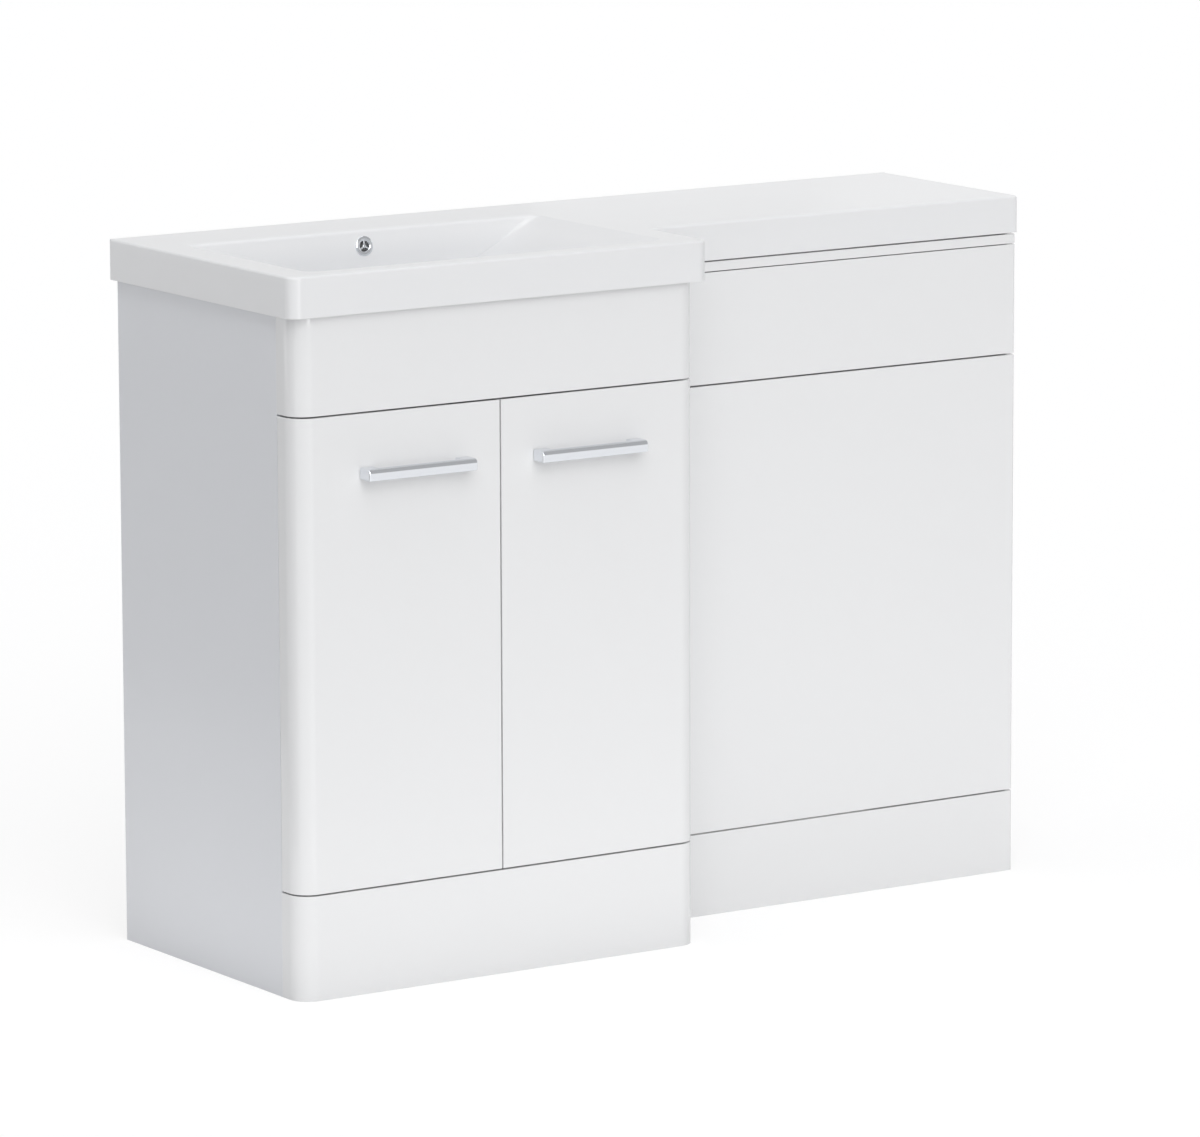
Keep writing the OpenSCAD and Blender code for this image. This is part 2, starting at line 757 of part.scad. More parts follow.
module hinge_arms() for (z = hinge_z) translate([0, 0, z]) {
    bar_y = arm_pin[1] + link_w / 2 + arm_gap;
    for (s = [-1, 1]) translate([0, 0, s * (cheek_z + cheek_t / 2)])
        linear_extrude(cheek_t, center = true) {
            translate(arm_pin) circle(d = cheek_d);
            translate([inner_l + plate_t, arm_pin[1]])
                square([arm_bar_t, bar_y + cheek_lap - arm_pin[1]]);
        }
    box([inner_l + plate_t, bar_y, -cheek_z - cheek_t],
        [inner_l + plate_t + arm_bar_t, arm_pin[1] + arm_len, cheek_z + cheek_t]);
    pivot(arm_pin[0], arm_pin[1], pin_d, 2 * cheek_z + cheek_t);
}

module hinge_cups_left() color("lightgray") at_home() hinge_cups();
module hinge_cups_right() color("lightgray") at_home() other_side() hinge_cups();
module hinge_cup_links_left() color("silver") at_home() hinge_cup_links();
module hinge_cup_links_right() color("silver") at_home() other_side() hinge_cup_links();
module hinge_arm_links_left() color("silver") at_home() hinge_arm_links();
module hinge_arm_links_right() color("silver") at_home() other_side() hinge_arm_links();
module hinge_arms_left() color("lightgray") at_home() hinge_arms();
module hinge_arms_right() color("lightgray") at_home() other_side() hinge_arms();

module hinge_plates() color("lightgray") at_home() both_sides() difference() {
    for (z = hinge_z) box([inner_l, plate_screw_y - plate_len / 2, z - plate_h / 2],
        [inner_l + plate_t, plate_screw_y + plate_len / 2, z + plate_h / 2]);
    plate_screw_shanks(fit);
}

module hinge_plate_screws() color("silver") at_home() both_sides() {
    plate_screw_shanks();
    for (z = hinge_z, s = [-1, 1])
        rod([inner_l + plate_t, plate_screw_y, z + s * plate_pitch / 2],
            "x", wood_head_d, wood_head_h);
}

// Toilet housing: boards

module wc_gable_left() color("white") at_home() cam_cut(wc_cams) difference() {
    box([basin_w, wc_back_y, 0], [wc_inner_l, basin_d, wc_h]);
    bracket_shanks(fit);
    joiner_holes();
}

module wc_gable_right() color("white") at_home() cam_cut(wc_cams) difference() {
    box([wc_inner_r, wc_back_y, 0], [total_w, basin_d, wc_h]);
    bracket_shanks(fit);
}

// Studs of the service panel, and the sockets and holes that take them
module studs(d, len) for (x = stud_x, z = stud_z) rod([x, wc_back_y, z], "y", d, len);

module wc_front_rail(z) cam_cut(wc_cams) difference() {
    box([wc_inner_l, wc_back_y, z], [wc_inner_r, wc_back_y + board_t, z + wc_rail_h]);
    translate([0, -cut, 0]) studs(socket_d + 2 * fit, board_t + 2 * cut);
}

module wc_top_rail() color("whitesmoke") at_home() wc_front_rail(top_rail_z);

module wc_middle_rail() color("whitesmoke") at_home() wc_front_rail(middle_rail_z);

module wc_back_rail_upper() color("whitesmoke") at_home()
    cam_cut(wc_cams) back_rail(wc_inner_l, wc_inner_r, rail_z);

module wc_back_rail_lower() color("whitesmoke") at_home()
    cam_cut(wc_cams) back_rail(wc_inner_l, wc_inner_r, low_rail_z);

// Toilet housing: fronts

// A front board of the housing between two heights, with its outer edge rounded
module wc_front(z, h) translate([basin_w + side_gap, wc_front_y, z])
    linear_extrude(h) difference() {
        square([wc_w - side_gap, front_t]);
        translate([wc_w - side_gap, 0]) mirror([1, 0]) corner_waste(wc_edge_r);
    }

module wc_lipping() color("white") at_home() wc_front(lipping_z, lipping_h);

module wc_service_panel() color("white") at_home() wc_front(service_z, service_h);

module wc_lower_panel() color("white") at_home() wc_front(lower_z, lower_h);

module wc_plinth() color("white") at_home() wc_front(0, wc_plinth_h);

module service_panel_studs() color("gray") at_home() studs(stud_d, stud_len);

module service_panel_sockets() color("dimgray") at_home() difference() {
    studs(socket_d, board_t);
    translate([0, -cut, 0]) studs(stud_d + 2 * fit, stud_len + stud_play + cut);
}

// Fittings

module cam_locks() color("silver") at_home() {
    cams(basin_cams);
    cams(wc_cams);
}

module cam_bolts() color("gray") at_home() {
    cam_rods(basin_cams);
    cam_rods(wc_cams);
}

module carcass_joining_bolts() color("silver") at_home() for (p = joiner_points) {
    rod([inner_r, p[0], p[1]], "x", joiner_d, 2 * board_t);
    rod([inner_r - joiner_head_t, p[0], p[1]], "x", joiner_head_d, joiner_head_t);
    rod([inner_r + 2 * board_t, p[0], p[1]], "x", joiner_head_d, joiner_head_t);
}

// Angles that hold the carcasses back to the wall
module wall_brackets() color("lightgray") at_home() difference() {
    for (s = bracket_sides) {
        box([min(s[0], s[0] + s[1] * bracket_t), basin_d - bracket_leg, bracket_z],
            [max(s[0], s[0] + s[1] * bracket_t), basin_d, bracket_z + bracket_h]);
        box([min(s[0], s[0] + s[1] * bracket_leg), basin_d - bracket_t, bracket_z],
            [max(s[0], s[0] + s[1] * bracket_leg), basin_d, bracket_z + bracket_h]);
    }
    for (s = bracket_sides)
        rod([s[0] + s[1] * bracket_hole_x, basin_d - bracket_t - cut, bracket_mid_z],
            "y", bracket_hole_d, bracket_t + 2 * cut);
    bracket_shanks(fit);
}

module bracket_screws() color("silver") at_home() {
    bracket_shanks();
    for (s = bracket_sides)
        rod([min(s[0] + s[1] * bracket_t, s[0] + s[1] * (bracket_t + wood_head_h)),
             bracket_screw_y, bracket_mid_z],
            "x", wood_head_d, wood_head_h);
}

// Pads between the housing's gables and the top
module worktop_pads() color("lightgray") at_home()
    for (x = [basin_w + seat_w / 2, total_w - seat_w / 2],
         y = [wc_back_y + pad_inset, basin_d - pad_inset - pad_len])
        box([x - pad_w / 2, y, wc_h], [x + pad_w / 2, y + pad_len, wc_h + pad_t]);

// Top

// Plan of the top, L-shaped, with its outer corners rounded
module top_plan() difference() {
    union() {
        translate([-over_left, -over_front])
            square([basin_w + over_left + over_right, basin_d + over_front]);
        translate([0, wc_front_y - wc_over]) square([total_w + wc_over, wc_d + wc_over]);
    }
    translate([-over_left, -over_front]) corner_waste(top_corner_r);
    translate([basin_w + over_right, -over_front]) mirror([1, 0]) corner_waste(top_corner_r);
    translate([total_w + wc_over, wc_front_y - wc_over]) mirror([1, 0]) corner_waste(wc_top_r);
}

// Hollow under the top, inside its skirt
module top_hollow() {
    hollow_top = unit_h - deck_t;
    box([seat_w, seat_w, carcass_h - cut], [basin_w - seat_w, basin_d - seat_w, hollow_top]);
    box([basin_w + seat_w, wc_front_y + seat_w, carcass_h - cut],
        [total_w - seat_w, basin_d - seat_w, hollow_top]);
}

// The bowl's inside, or its shell's outside when it is grown by the shell's thickness
module bowl_solid(grow) {
    top_z = unit_h + (grow > 0 ? -deck_t / 2 : cut);
    low_z = bowl_z - grow;
    ramp = atan(bowl_depth / ramp_run);
    front = atan(bowl_depth / bowl_front_run);
    back = atan(bowl_depth / bowl_back_run);
    // Distance from the rim to a wall at a height
    function inset(angle, z) = (unit_h - z) / tan(angle) - grow / sin(angle);
    intersection() {
        translate([0, rim_b + 2 * grow, 0]) rotate([90, 0, 0])
            linear_extrude(rim_b - rim_f + 4 * grow) polygon([
                [rim_l + inset(ramp, top_z), top_z], [rim_r - inset(ramp, top_z), top_z],
                [rim_r - inset(ramp, low_z), low_z], [rim_l + inset(ramp, low_z), low_z]
            ]);
        rotate([90, 0, 90]) linear_extrude(basin_w) polygon([
            [rim_f + inset(front, top_z), top_z], [rim_b - inset(back, top_z), top_z],
            [rim_b - inset(back, low_z), low_z], [rim_f + inset(front, low_z), low_z]
        ]);
        // This plan runs past the ramps' ends, so it only rounds the corners
        translate([0, 0, low_z]) linear_extrude(top_z - low_z + cut)
            round_plan([rim_l - 3 * grow, rim_f - grow], [rim_r + 3 * grow, rim_b + grow],
                bowl_corner_r + grow);
    }
}

// A rectangle with four rounded corners
module round_plan(from, to, r) difference() {
    translate(from) square(to - from);
    translate(from) corner_waste(r);
    translate([to[0], from[1]]) mirror([1, 0]) corner_waste(r);
    translate([from[0], to[1]]) mirror([0, 1]) corner_waste(r);
    translate(to) rotate(180) corner_waste(r);
}

// Walls of the overflow channel: down behind the bowl and forward under its floor
module channel_walls() {
    half = channel_w / 2 + channel_wall_t;
    back = channel_y + channel_t + channel_wall_t;
    box([bowl_x - half, rim_b - bowl_back_run, boss_z],
        [bowl_x + half, back, unit_h - deck_t / 2]);
    box([bowl_x - half, waste_y, boss_z], [bowl_x + half, back, bowl_z - bowl_shell_t / 2]);
    rod([bowl_x, waste_y, boss_z], "z", boss_d, bowl_z - bowl_shell_t / 2 - boss_z);
}

module channel_hollow() {
    half = channel_w / 2;
    back = channel_y + channel_t;
    run_z = boss_z + channel_wall_t;
    box([bowl_x - half, channel_y, run_z], [bowl_x + half, back, channel_top]);
    box([bowl_x - half, waste_y, run_z], [bowl_x + half, back, run_z + channel_run_h]);
}

// Places a thing on the bowl's back wall at the overflow, its Z axis out of the wall
module at_overflow() translate([bowl_x, overflow_y, unit_h - overflow_drop])
    rotate([90 - back_lean, 0, 0]) children();

module basin_top() color("white") at_home() difference() {
    union() {
        difference() {
            union() {
                translate([0, 0, carcass_h]) linear_extrude(skirt_h) intersection() {
                    top_plan();
                    union() {
                        translate([-over_left, -over_front])
                            square([basin_w + over_left, basin_d + over_front]);
                        translate([0, -over_front])
                            square([basin_w + over_right, wc_front_y - wc_over + over_front]);
                    }
                }
                translate([0, 0, unit_h - wc_skirt_h]) linear_extrude(wc_skirt_h) top_plan();
            }
            top_hollow();
        }
        bowl_solid(bowl_shell_t);
        channel_walls();
    }
    bowl_solid(0);
    channel_hollow();
    at_overflow() translate([0, 0, -channel_y + overflow_y - channel_t / 2])
        cylinder(d = overflow_d, h = channel_y - overflow_y + channel_t / 2 + cut);
    rod([bowl_x, waste_y, boss_z - cut], "z", waste_hole_d, bowl_z - boss_z + 2 * cut);
    rod([bowl_x, waste_y, bowl_z - flange_t], "z", flange_d + 2 * fit, flange_t + cut);
}

// Ring and spoked insert of the overflow
module overflow_ring() color("silver") at_home() at_overflow() {
    sleeve_z = sleeve_short - bowl_shell_t;
    spoke_t = ring_flange_t / 2 + web_t;
    difference() {
        union() {
            cylinder(d = ring_d, h = ring_flange_t);
            translate([0, 0, sleeve_z]) cylinder(d = overflow_d - 2 * fit, h = cut - sleeve_z);
        }
        translate([0, 0, -web_t - cut])
            cylinder(d = ring_bore_d, h = ring_flange_t + web_t + 2 * cut);
        translate([0, 0, sleeve_z - cut])
            cylinder(d = overflow_d - 2 * sleeve_t - 2 * fit, h = cut - sleeve_z - web_t);
    }
    translate([0, 0, -web_t]) {
        cylinder(d = spoke_hub_d, h = spoke_t);
        for (k = [1:spoke_count]) rotate(90 + k * 360 / spoke_count)
            translate([0, -spoke_w / 2, 0]) cube([ring_bore_d / 2 + web_t, spoke_w, spoke_t]);
    }
}

// Waste

module waste_body() color("silver") at_home() translate([bowl_x, waste_y, bowl_z]) {
    bore = waste_d / 2 - waste_wall_t;
    groove_z = boss_z - seal_t - nut_h - bowl_z;
    difference() {
        rotate_extrude() polygon([
            [bore, -waste_len], [waste_d / 2, -waste_len],
            [waste_d / 2, groove_z - groove_w], [waste_d / 2 - groove_t, groove_z - groove_w],
            [waste_d / 2 - groove_t, groove_z], [waste_d / 2, groove_z],
            [waste_d / 2, -flange_t], [flange_d / 2, -flange_t], [flange_d / 2, 0],
            [bore + waste_mouth, 0], [bore, -waste_mouth]
        ]);
        for (a = [0, 60, 120]) rotate(a)
            translate([-waste_d, -slot_w / 2, boss_z + channel_wall_t - bowl_z + slot_play])
                cube([2 * waste_d, slot_w, slot_h]);
    }
    translate([0, 0, -guide_drop - guide_h]) difference() {
        union() {
            cylinder(d = guide_d, h = guide_h);
            for (a = [0, 60, 120]) rotate(a)
                translate([-waste_d / 2 + waste_wall_t / 2, -guide_arm_w / 2, 0])
                    cube([waste_d - waste_wall_t, guide_arm_w, guide_h / 2]);
        }
        translate([0, 0, -cut]) cylinder(d = plug_stem_d + 2 * fit, h = guide_h + 2 * cut);
    }
}

module waste_seal() color("dimgray") at_home()
    translate([bowl_x, waste_y, boss_z - seal_t]) difference() {
        cylinder(d = seal_d, h = seal_t);
        translate([0, 0, -cut]) cylinder(d = waste_d + 2 * fit, h = seal_t + 2 * cut);
    }

module waste_nut() color("gray") at_home()
    translate([bowl_x, waste_y, boss_z - seal_t - nut_h]) difference() {
        cylinder(d = nut_d, h = nut_h, $fn = 6);
        translate([0, 0, -cut]) cylinder(d = waste_d + 2 * fit, h = nut_h + 2 * cut);
    }

// Push-action plug: a domed cap on a stem, shown pressed down
module waste_plug() color("silver") at_home() translate([bowl_x, waste_y, bowl_z + plug_gap]) {
    steps = 6;
    rotate_extrude() polygon([
        [0, 0], [plug_d / 2 - plug_edge, 0], [plug_d / 2, plug_edge],
        for (k = [steps:-1:0]) [k / steps * plug_d / 2, plug_t - plug_crown * pow(k / steps, 2)]
    ]);
    translate([0, 0, -plug_stem_len]) cylinder(d = plug_stem_d, h = plug_stem_len + plug_edge);
}

basin_gable_left();
basin_gable_right();
basin_floor_board();
basin_front_rail();
basin_back_rail_upper();
basin_back_rail_lower();
basin_shelf();
shelf_pins();
basin_fascia();
fascia_blocks();
basin_plinth();
door_buffers();
door_left();
door_right();
handle_left();
handle_right();
handle_screws_left();
handle_screws_right();
hinge_cups_left();
hinge_cups_right();
hinge_cup_links_left();
hinge_cup_links_right();
hinge_arm_links_left();
hinge_arm_links_right();
hinge_arms_left();
hinge_arms_right();
hinge_plates();
hinge_plate_screws();
wc_gable_left();
wc_gable_right();
wc_top_rail();
wc_middle_rail();
wc_back_rail_upper();
wc_back_rail_lower();
wc_lipping();
wc_service_panel();
service_panel_studs();
service_panel_sockets();
wc_lower_panel();
wc_plinth();
cam_locks();
cam_bolts();
carcass_joining_bolts();
wall_brackets();
bracket_screws();
worktop_pads();
basin_top();
overflow_ring();
waste_body();
waste_seal();
waste_nut();
waste_plug();
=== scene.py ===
"""Looks of a fitted basin cabinet and toilet housing under one L-shaped cast top.

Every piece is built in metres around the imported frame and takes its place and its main
sizes from it. Classes stand for the sub-assemblies, and frozen dataclasses for finishes.
"""

import json
import logging
import math
from dataclasses import dataclass, field, replace
from enum import Enum
from typing import Callable, Iterable, Sequence

import bmesh
import bpy
from mathutils import Matrix, Vector


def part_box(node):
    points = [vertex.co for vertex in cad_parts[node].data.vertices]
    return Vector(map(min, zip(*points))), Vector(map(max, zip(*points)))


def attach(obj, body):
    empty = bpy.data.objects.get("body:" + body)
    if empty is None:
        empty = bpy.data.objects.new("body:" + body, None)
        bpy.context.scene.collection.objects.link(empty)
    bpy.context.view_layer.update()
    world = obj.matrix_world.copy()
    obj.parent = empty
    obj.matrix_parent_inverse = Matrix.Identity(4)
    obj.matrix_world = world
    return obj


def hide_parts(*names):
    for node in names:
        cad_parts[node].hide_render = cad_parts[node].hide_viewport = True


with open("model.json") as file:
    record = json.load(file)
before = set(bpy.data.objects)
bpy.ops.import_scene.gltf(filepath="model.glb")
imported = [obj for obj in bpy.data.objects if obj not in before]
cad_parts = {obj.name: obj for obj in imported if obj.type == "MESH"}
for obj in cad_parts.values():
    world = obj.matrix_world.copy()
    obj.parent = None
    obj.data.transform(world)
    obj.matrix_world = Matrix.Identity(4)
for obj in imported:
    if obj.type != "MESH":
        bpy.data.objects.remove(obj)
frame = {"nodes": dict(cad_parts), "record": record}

LOG = logging.getLogger("bathroom_unit")
MM = 0.001
WELD_REACH = 0.002 * MM
HALF_TURN = math.pi
QUARTER_TURN = math.pi / 2
Triple = tuple[float, float, float]


class Slot(Enum):
    """Material slots of the record."""

    FRONT = "gloss_front"
    GABLE = "gloss_board"
    BOARD = "white_board"
    CAST = "cast_top"
    CHROME = "chrome"
    NICKEL = "nickel_steel"
    TIMBER = "timber"
    PLASTIC = "plastic"
    BUFFER = "clear_buffer"
    RUBBER = "rubber"


class Body(Enum):
    """Bodies that the pieces ride on."""

    CARCASS = "carcass"
    DOOR_LEFT = "door_left"
    DOOR_RIGHT = "door_right"
    SERVICE_PANEL = "service_panel"
    PLUG = "waste_plug"


class Combine(Enum):
    """Ways to combine two solids."""

    CUT = "DIFFERENCE"
    JOIN = "UNION"


class Hand(Enum):
    """Side of the basin cabinet, as the sign of its X direction."""

    LEFT = 1
    RIGHT = -1

    @property
    def side(self) -> str:
        """Word that ends the names of this side's nodes."""
        return self.name.lower()

    @property
    def door(self) -> Body:
        """Body of this side's door."""
        return Body[f"DOOR_{self.name}"]


# Mesh making


@dataclass(frozen=True)
class Extent:
    """Box of one node at rest."""

    low: Vector
    high: Vector

    @classmethod
    def of(cls, node: str) -> "Extent":
        """Returns the box of a named node."""
        return cls(*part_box(node))

    @property
    def middle(self) -> Vector:
        """Centre of the box."""
        return (self.low + self.high) / 2

    @property
    def size(self) -> Vector:
        """Lengths of the box's edges."""
        return self.high - self.low


def extent_field(node: str) -> Extent:
    """Returns a dataclass field that holds the box of a named node."""
    return field(default_factory=lambda: Extent.of(node))


@dataclass(frozen=True)
class Corner:
    """One corner of a plan outline, with the roll of the edge above it if it has its own.

    A corner with an outward direction of its own stays a single sharp point.
    """

    x: float
    y: float
    r: float = 0.0
    over: float | None = None
    out: tuple[float, float] | None = None


@dataclass(frozen=True)
class EdgePoint:
    """A point of a rounded outline, with its outward normal and its edge radii."""

    at: Vector
    out: Vector
    over: float
    under: float


def equal_steps(whole: float, count: int) -> list[float]:
    """Returns the ends of equal steps from 0 to the whole, both included."""
    return [whole * k / count for k in range(count + 1)]


def rounded_outline(
    corners: Sequence[Corner], over: float, under: float, steps: int = 8
) -> list[EdgePoint]:
    """Rounds the corners of a plan outline.

    Args:
        corners: Corners in counter-clockwise order, seen from above.
        over: Radius of the upper edge, where a corner names none.
        under: Radius of the lower edge.
        steps: Number of facets in a rounded corner.

    Returns:
        The outline's points in order.
    """
    points = []
    for k, corner in enumerate(corners):
        before, after = corners[k - 1], corners[(k + 1) % len(corners)]
        here = Vector((corner.x, corner.y))
        rolls = (over if corner.over is None else corner.over, under)
        if corner.out is not None:
            points.append(EdgePoint(here, Vector(corner.out), *rolls))
            continue
        come = (here - Vector((before.x, before.y))).normalized()
        leave = (Vector((after.x, after.y)) - here).normalized()
        turn = math.atan2(come.cross(leave), come.dot(leave))
        side = math.copysign(1.0, turn)
        reach = corner.r * math.tan(abs(turn) / 2)
        inward = Vector((-come.y, come.x)) * side
        centre = here - come * reach + inward * corner.r
        for part in equal_steps(turn, steps):
            spoke = -inward
            spoke.rotate(Matrix.Rotation(part, 2))
            points.append(EdgePoint(centre + spoke * corner.r, spoke * side, *rolls))
    return points


def rectangle(low: Vector, high: Vector, *radii: float) -> list[Corner]:
    """Lists a rectangle's corners in plan, with one radius or four, from the front left on."""
    places = ((low.x, low.y), (high.x, low.y), (high.x, high.y), (low.x, high.y))
    return [Corner(*place, r) for place, r in zip(places, radii * len(places))]


def put_in_scene(name: str, data: bpy.types.ID) -> bpy.types.Object:
    """Makes an object of a mesh, lamp or camera and puts it in the scene.

    Args:
        name: Name of the object.
        data: What it shows.

    Returns:
        The new object.
    """
    item = bpy.data.objects.new(name, data)
    bpy.context.scene.collection.objects.link(item)
    return item


def new_piece(name: str, shape: bmesh.types.BMesh) -> bpy.types.Object:
    """Turns a finished bmesh into a scene object.

    Args:
        name: Name of the object.
        shape: The mesh, which is freed here.

    Returns:
        The new object.
    """
    bmesh.ops.remove_doubles(shape, verts=shape.verts, dist=WELD_REACH)
    bmesh.ops.recalc_face_normals(shape, faces=shape.faces)
    mesh = bpy.data.meshes.new(name)
    shape.to_mesh(mesh)
    shape.free()
    return put_in_scene(name, mesh)


def loft(name: str, rings: Sequence[Sequence[Vector]]) -> bpy.types.Object:
    """Joins closed rings of equal length into a solid with flat ends.

    Args:
        name: Name of the object.
        rings: The rings, from one end to the other.

    Returns:
        The solid.
    """
    shape = bmesh.new()
    rows = [[shape.verts.new(point) for point in ring] for ring in rings]
    count = len(rows[0])
    for lower, upper in zip(rows, rows[1:]):
        for k in range(count):
            following = (k + 1) % count
            shape.faces.new((lower[k], lower[following], upper[following], upper[k]))
    shape.faces.new(list(reversed(rows[0])))
    shape.faces.new(rows[-1])
    return new_piece(name, shape)


def rolled_prism(
    name: str, outline: Sequence[EdgePoint], low: float, high: float, steps: int = 5
) -> bpy.types.Object:
    """Raises a plan outline into a solid with rounded upper and lower edges.

    Args:
        name: Name of the object.
        outline: Points of the plan with their edge radii.
        low: Height of the lower face.
        high: Height of the upper face.
        steps: Number of facets in an edge's quarter turn.

    Returns:
        The solid.
    """
    turns = equal_steps(QUARTER_TURN, steps)
    lower = [[
        (*(p.at - p.out * p.under * (1 - math.sin(turn))), low + p.under * (1 - math.cos(turn)))
        for p in outline
    ] for turn in turns]
    upper = [[
        (*(p.at - p.out * p.over * (1 - math.cos(turn))), high - p.over * (1 - math.sin(turn)))
        for p in outline
    ] for turn in turns]
    return loft(name, lower + upper)


def lathe(
    name: str, profile: Sequence[tuple[float, float]], place: Matrix, steps: int = 64
) -> bpy.types.Object:
    """Turns a closed profile about the Z axis of a place.

    Args:
        name: Name of the object.
        profile: Radius and height of each point, counter-clockwise around the section.
        place: Matrix that puts the turned solid where it belongs.
        steps: Number of facets around.

    Returns:
        The solid.
    """
    shape = bmesh.new()
    rows = [[
        shape.verts.new(place @ Vector((r * math.cos(turn), r * math.sin(turn), z)))
        for r, z in profile
    ] for turn in equal_steps(2 * HALF_TURN, steps)[:-1]]
    for k, here in enumerate(rows):
        there = rows[(k + 1) % steps]
        for j, (r, _) in enumerate(profile):
            after = (j + 1) % len(profile)
            if r > 0 or profile[after][0] > 0:
                shape.faces.new((here[j], there[j], there[after], here[after]))
    return new_piece(name, shape)


def block(name: str, low: Sequence[float], high: Sequence[float]) -> bpy.types.Object:
    """Makes a sharp-edged box, which only serves to cut or join.

    Args:
        name: Name of the object.
        low: Its lowest corner.
        high: Its highest corner.

    Returns:
        The solid.
    """
    shape = bmesh.new()
    bmesh.ops.create_cube(shape, size=1.0)
    low, high = Vector(low), Vector(high)
    bmesh.ops.scale(shape, vec=high - low, verts=shape.verts)
    bmesh.ops.translate(shape, vec=(low + high) / 2, verts=shape.verts)
    return new_piece(name, shape)


def drill(name: str, radius: float, start: Vector, end: Vector) -> bpy.types.Object:
    """Makes a round bar between two points, which only serves to cut or join.

    Args:
        name: Name of the object.
        radius: Radius of the bar.
        start: Middle of one end.
        end: Middle of the other end.

    Returns:
        The solid.
    """
    run = end - start
    place = Matrix.Translation(start) @ run.to_track_quat("Z", "Y").to_matrix().to_4x4()
    return lathe(name, [(0, 0), (radius, 0), (radius, run.length), (0, run.length)], place)


def settle(piece: bpy.types.Object) -> None:
    """Applies the modifiers of a piece to its mesh.

    Args:
        piece: The piece.
    """
    graph = bpy.context.evaluated_depsgraph_get()
    shown = piece.evaluated_get(graph)
    mesh = bpy.data.meshes.new_from_object(shown, preserve_all_data_layers=True, depsgraph=graph)
    plain = piece.data
    piece.modifiers.clear()
    piece.data = mesh
    bpy.data.meshes.remove(plain)


def weld(piece: bpy.types.Object) -> None:
    """Joins points that all but coincide and removes the slivers between them.

    Args:
        piece: The piece.
    """
    shape = bmesh.new()
    shape.from_mesh(piece.data)
    bmesh.ops.remove_doubles(shape, verts=shape.verts, dist=WELD_REACH)
    bmesh.ops.dissolve_degenerate(shape, edges=shape.edges, dist=WELD_REACH)
    shape.to_mesh(piece.data)
    shape.free()


def combine(piece: bpy.types.Object, how: Combine, tools: Iterable[bpy.types.Object]) -> None:
    """Cuts or joins solids with a piece, one after the other, and removes them.

    Args:
        piece: The piece that is changed.
        how: Whether the others are cut away or joined on.
        tools: The other solids.
    """
    for tool in tools:
        change = piece.modifiers.new("combine", "BOOLEAN")
        change.operation = how.value
        change.solver = "EXACT"
        change.object = tool
        settle(piece)
        weld(piece)
        bpy.data.objects.remove(tool, do_unlink=True)


def smooth(piece: bpy.types.Object, crease: float = math.radians(32)) -> None:
    """Shades a piece smooth, with flat faces kept flat.

    Args:
        piece: The piece.
        crease: Angle between two faces from which their edge stays sharp.
    """
    piece.data.shade_smooth()
    piece.data.set_sharp_from_angle(angle=crease)
    weighing = piece.modifiers.new("weighing", "WEIGHTED_NORMAL")
    weighing.keep_sharp = True
    settle(piece)


# Finishes


def opaque(color: Triple) -> tuple[float, float, float, float]:
    """Returns a colour with full opacity."""
    return (*color, 1.0)


def cleared_tree(owner: bpy.types.Material | bpy.types.World) -> bpy.types.NodeTree:
    """Empties the shader tree of a new material or world.

    Args:
        owner: The material or world.

    Returns:
        Its tree, without nodes.
    """
    owner.use_nodes = True
    owner.node_tree.nodes.clear()
    return owner.node_tree


class Wiring:
    """Adds nodes to one shader tree and joins their sockets."""

    def __init__(self, tree: bpy.types.NodeTree) -> None:
        """Starts with a tree."""
        self.tree = tree

    def put(
        self, kind: str, inputs: dict[str | int, object] | None = None, **settings: object
    ) -> bpy.types.Node:
        """Adds a node.

        Args:
            kind: Type name of the node.
            inputs: Values or output sockets, by the name or number of the input.
            settings: Properties of the node.

        Returns:
            The new node.
        """
        node = self.tree.nodes.new(kind)
        for name, value in settings.items():
            setattr(node, name, value)
        for key, value in (inputs or {}).items():
            self.feed(node.inputs[key], value)
        return node

    def feed(self, socket: bpy.types.NodeSocket, value: object) -> None:
        """Joins a socket to another, or gives it a value of its own.

        Args:
            socket: The input.
            value: An output socket, or the value.
        """
        if isinstance(value, bpy.types.NodeSocket):
            self.tree.links.new(value, socket)
        else:
            socket.default_value = value

    def math(self, operation: str, *values: object) -> bpy.types.NodeSocket:
        """Puts in a math node and returns its result."""
        node = self.put("ShaderNodeMath", dict(enumerate(values)), operation=operation)
        return node.outputs[0]

    def noise(self, **inputs: object) -> bpy.types.NodeSocket:
        """Puts in a noise texture and returns its value."""
        return self.put("ShaderNodeTexNoise", inputs).outputs[0]

    def stretch(self, place: object, amounts: object) -> bpy.types.NodeSocket:
        """Multiplies a place by an amount for each direction and returns the result."""
        node = self.put("ShaderNodeVectorMath", {0: place, 1: amounts}, operation="MULTIPLY")
        return node.outputs[0]

    def around(self, value: object, middle: object, reach: object) -> bpy.types.NodeSocket:
        """Maps a value between 0 and 1 to the range around another.

        Args:
            value: The value.
            middle: Middle of the range.
            reach: How far the range goes to either side.

        Returns:
            The mapped value.
        """
        low = self.math("SUBTRACT", middle, reach)
        high = self.math("ADD", middle, reach)
        node = self.put("ShaderNodeMapRange", {"Value": value, "To Min": low, "To Max": high})
        return node.outputs[0]

    def blend(self, share: object, first: object, second: object) -> bpy.types.NodeSocket:
        """Blends two colours.

        Args:
            share: Share of the second colour.
            first: The first colour.
            second: The second colour.

        Returns:
            The blended colour.
        """
        node = self.put("ShaderNodeMix", data_type="RGBA")
        for key, value in ((0, share), (6, first), (7, second)):
            self.feed(node.inputs[key], opaque(value) if isinstance(value, tuple) else value)
        return node.outputs[2]


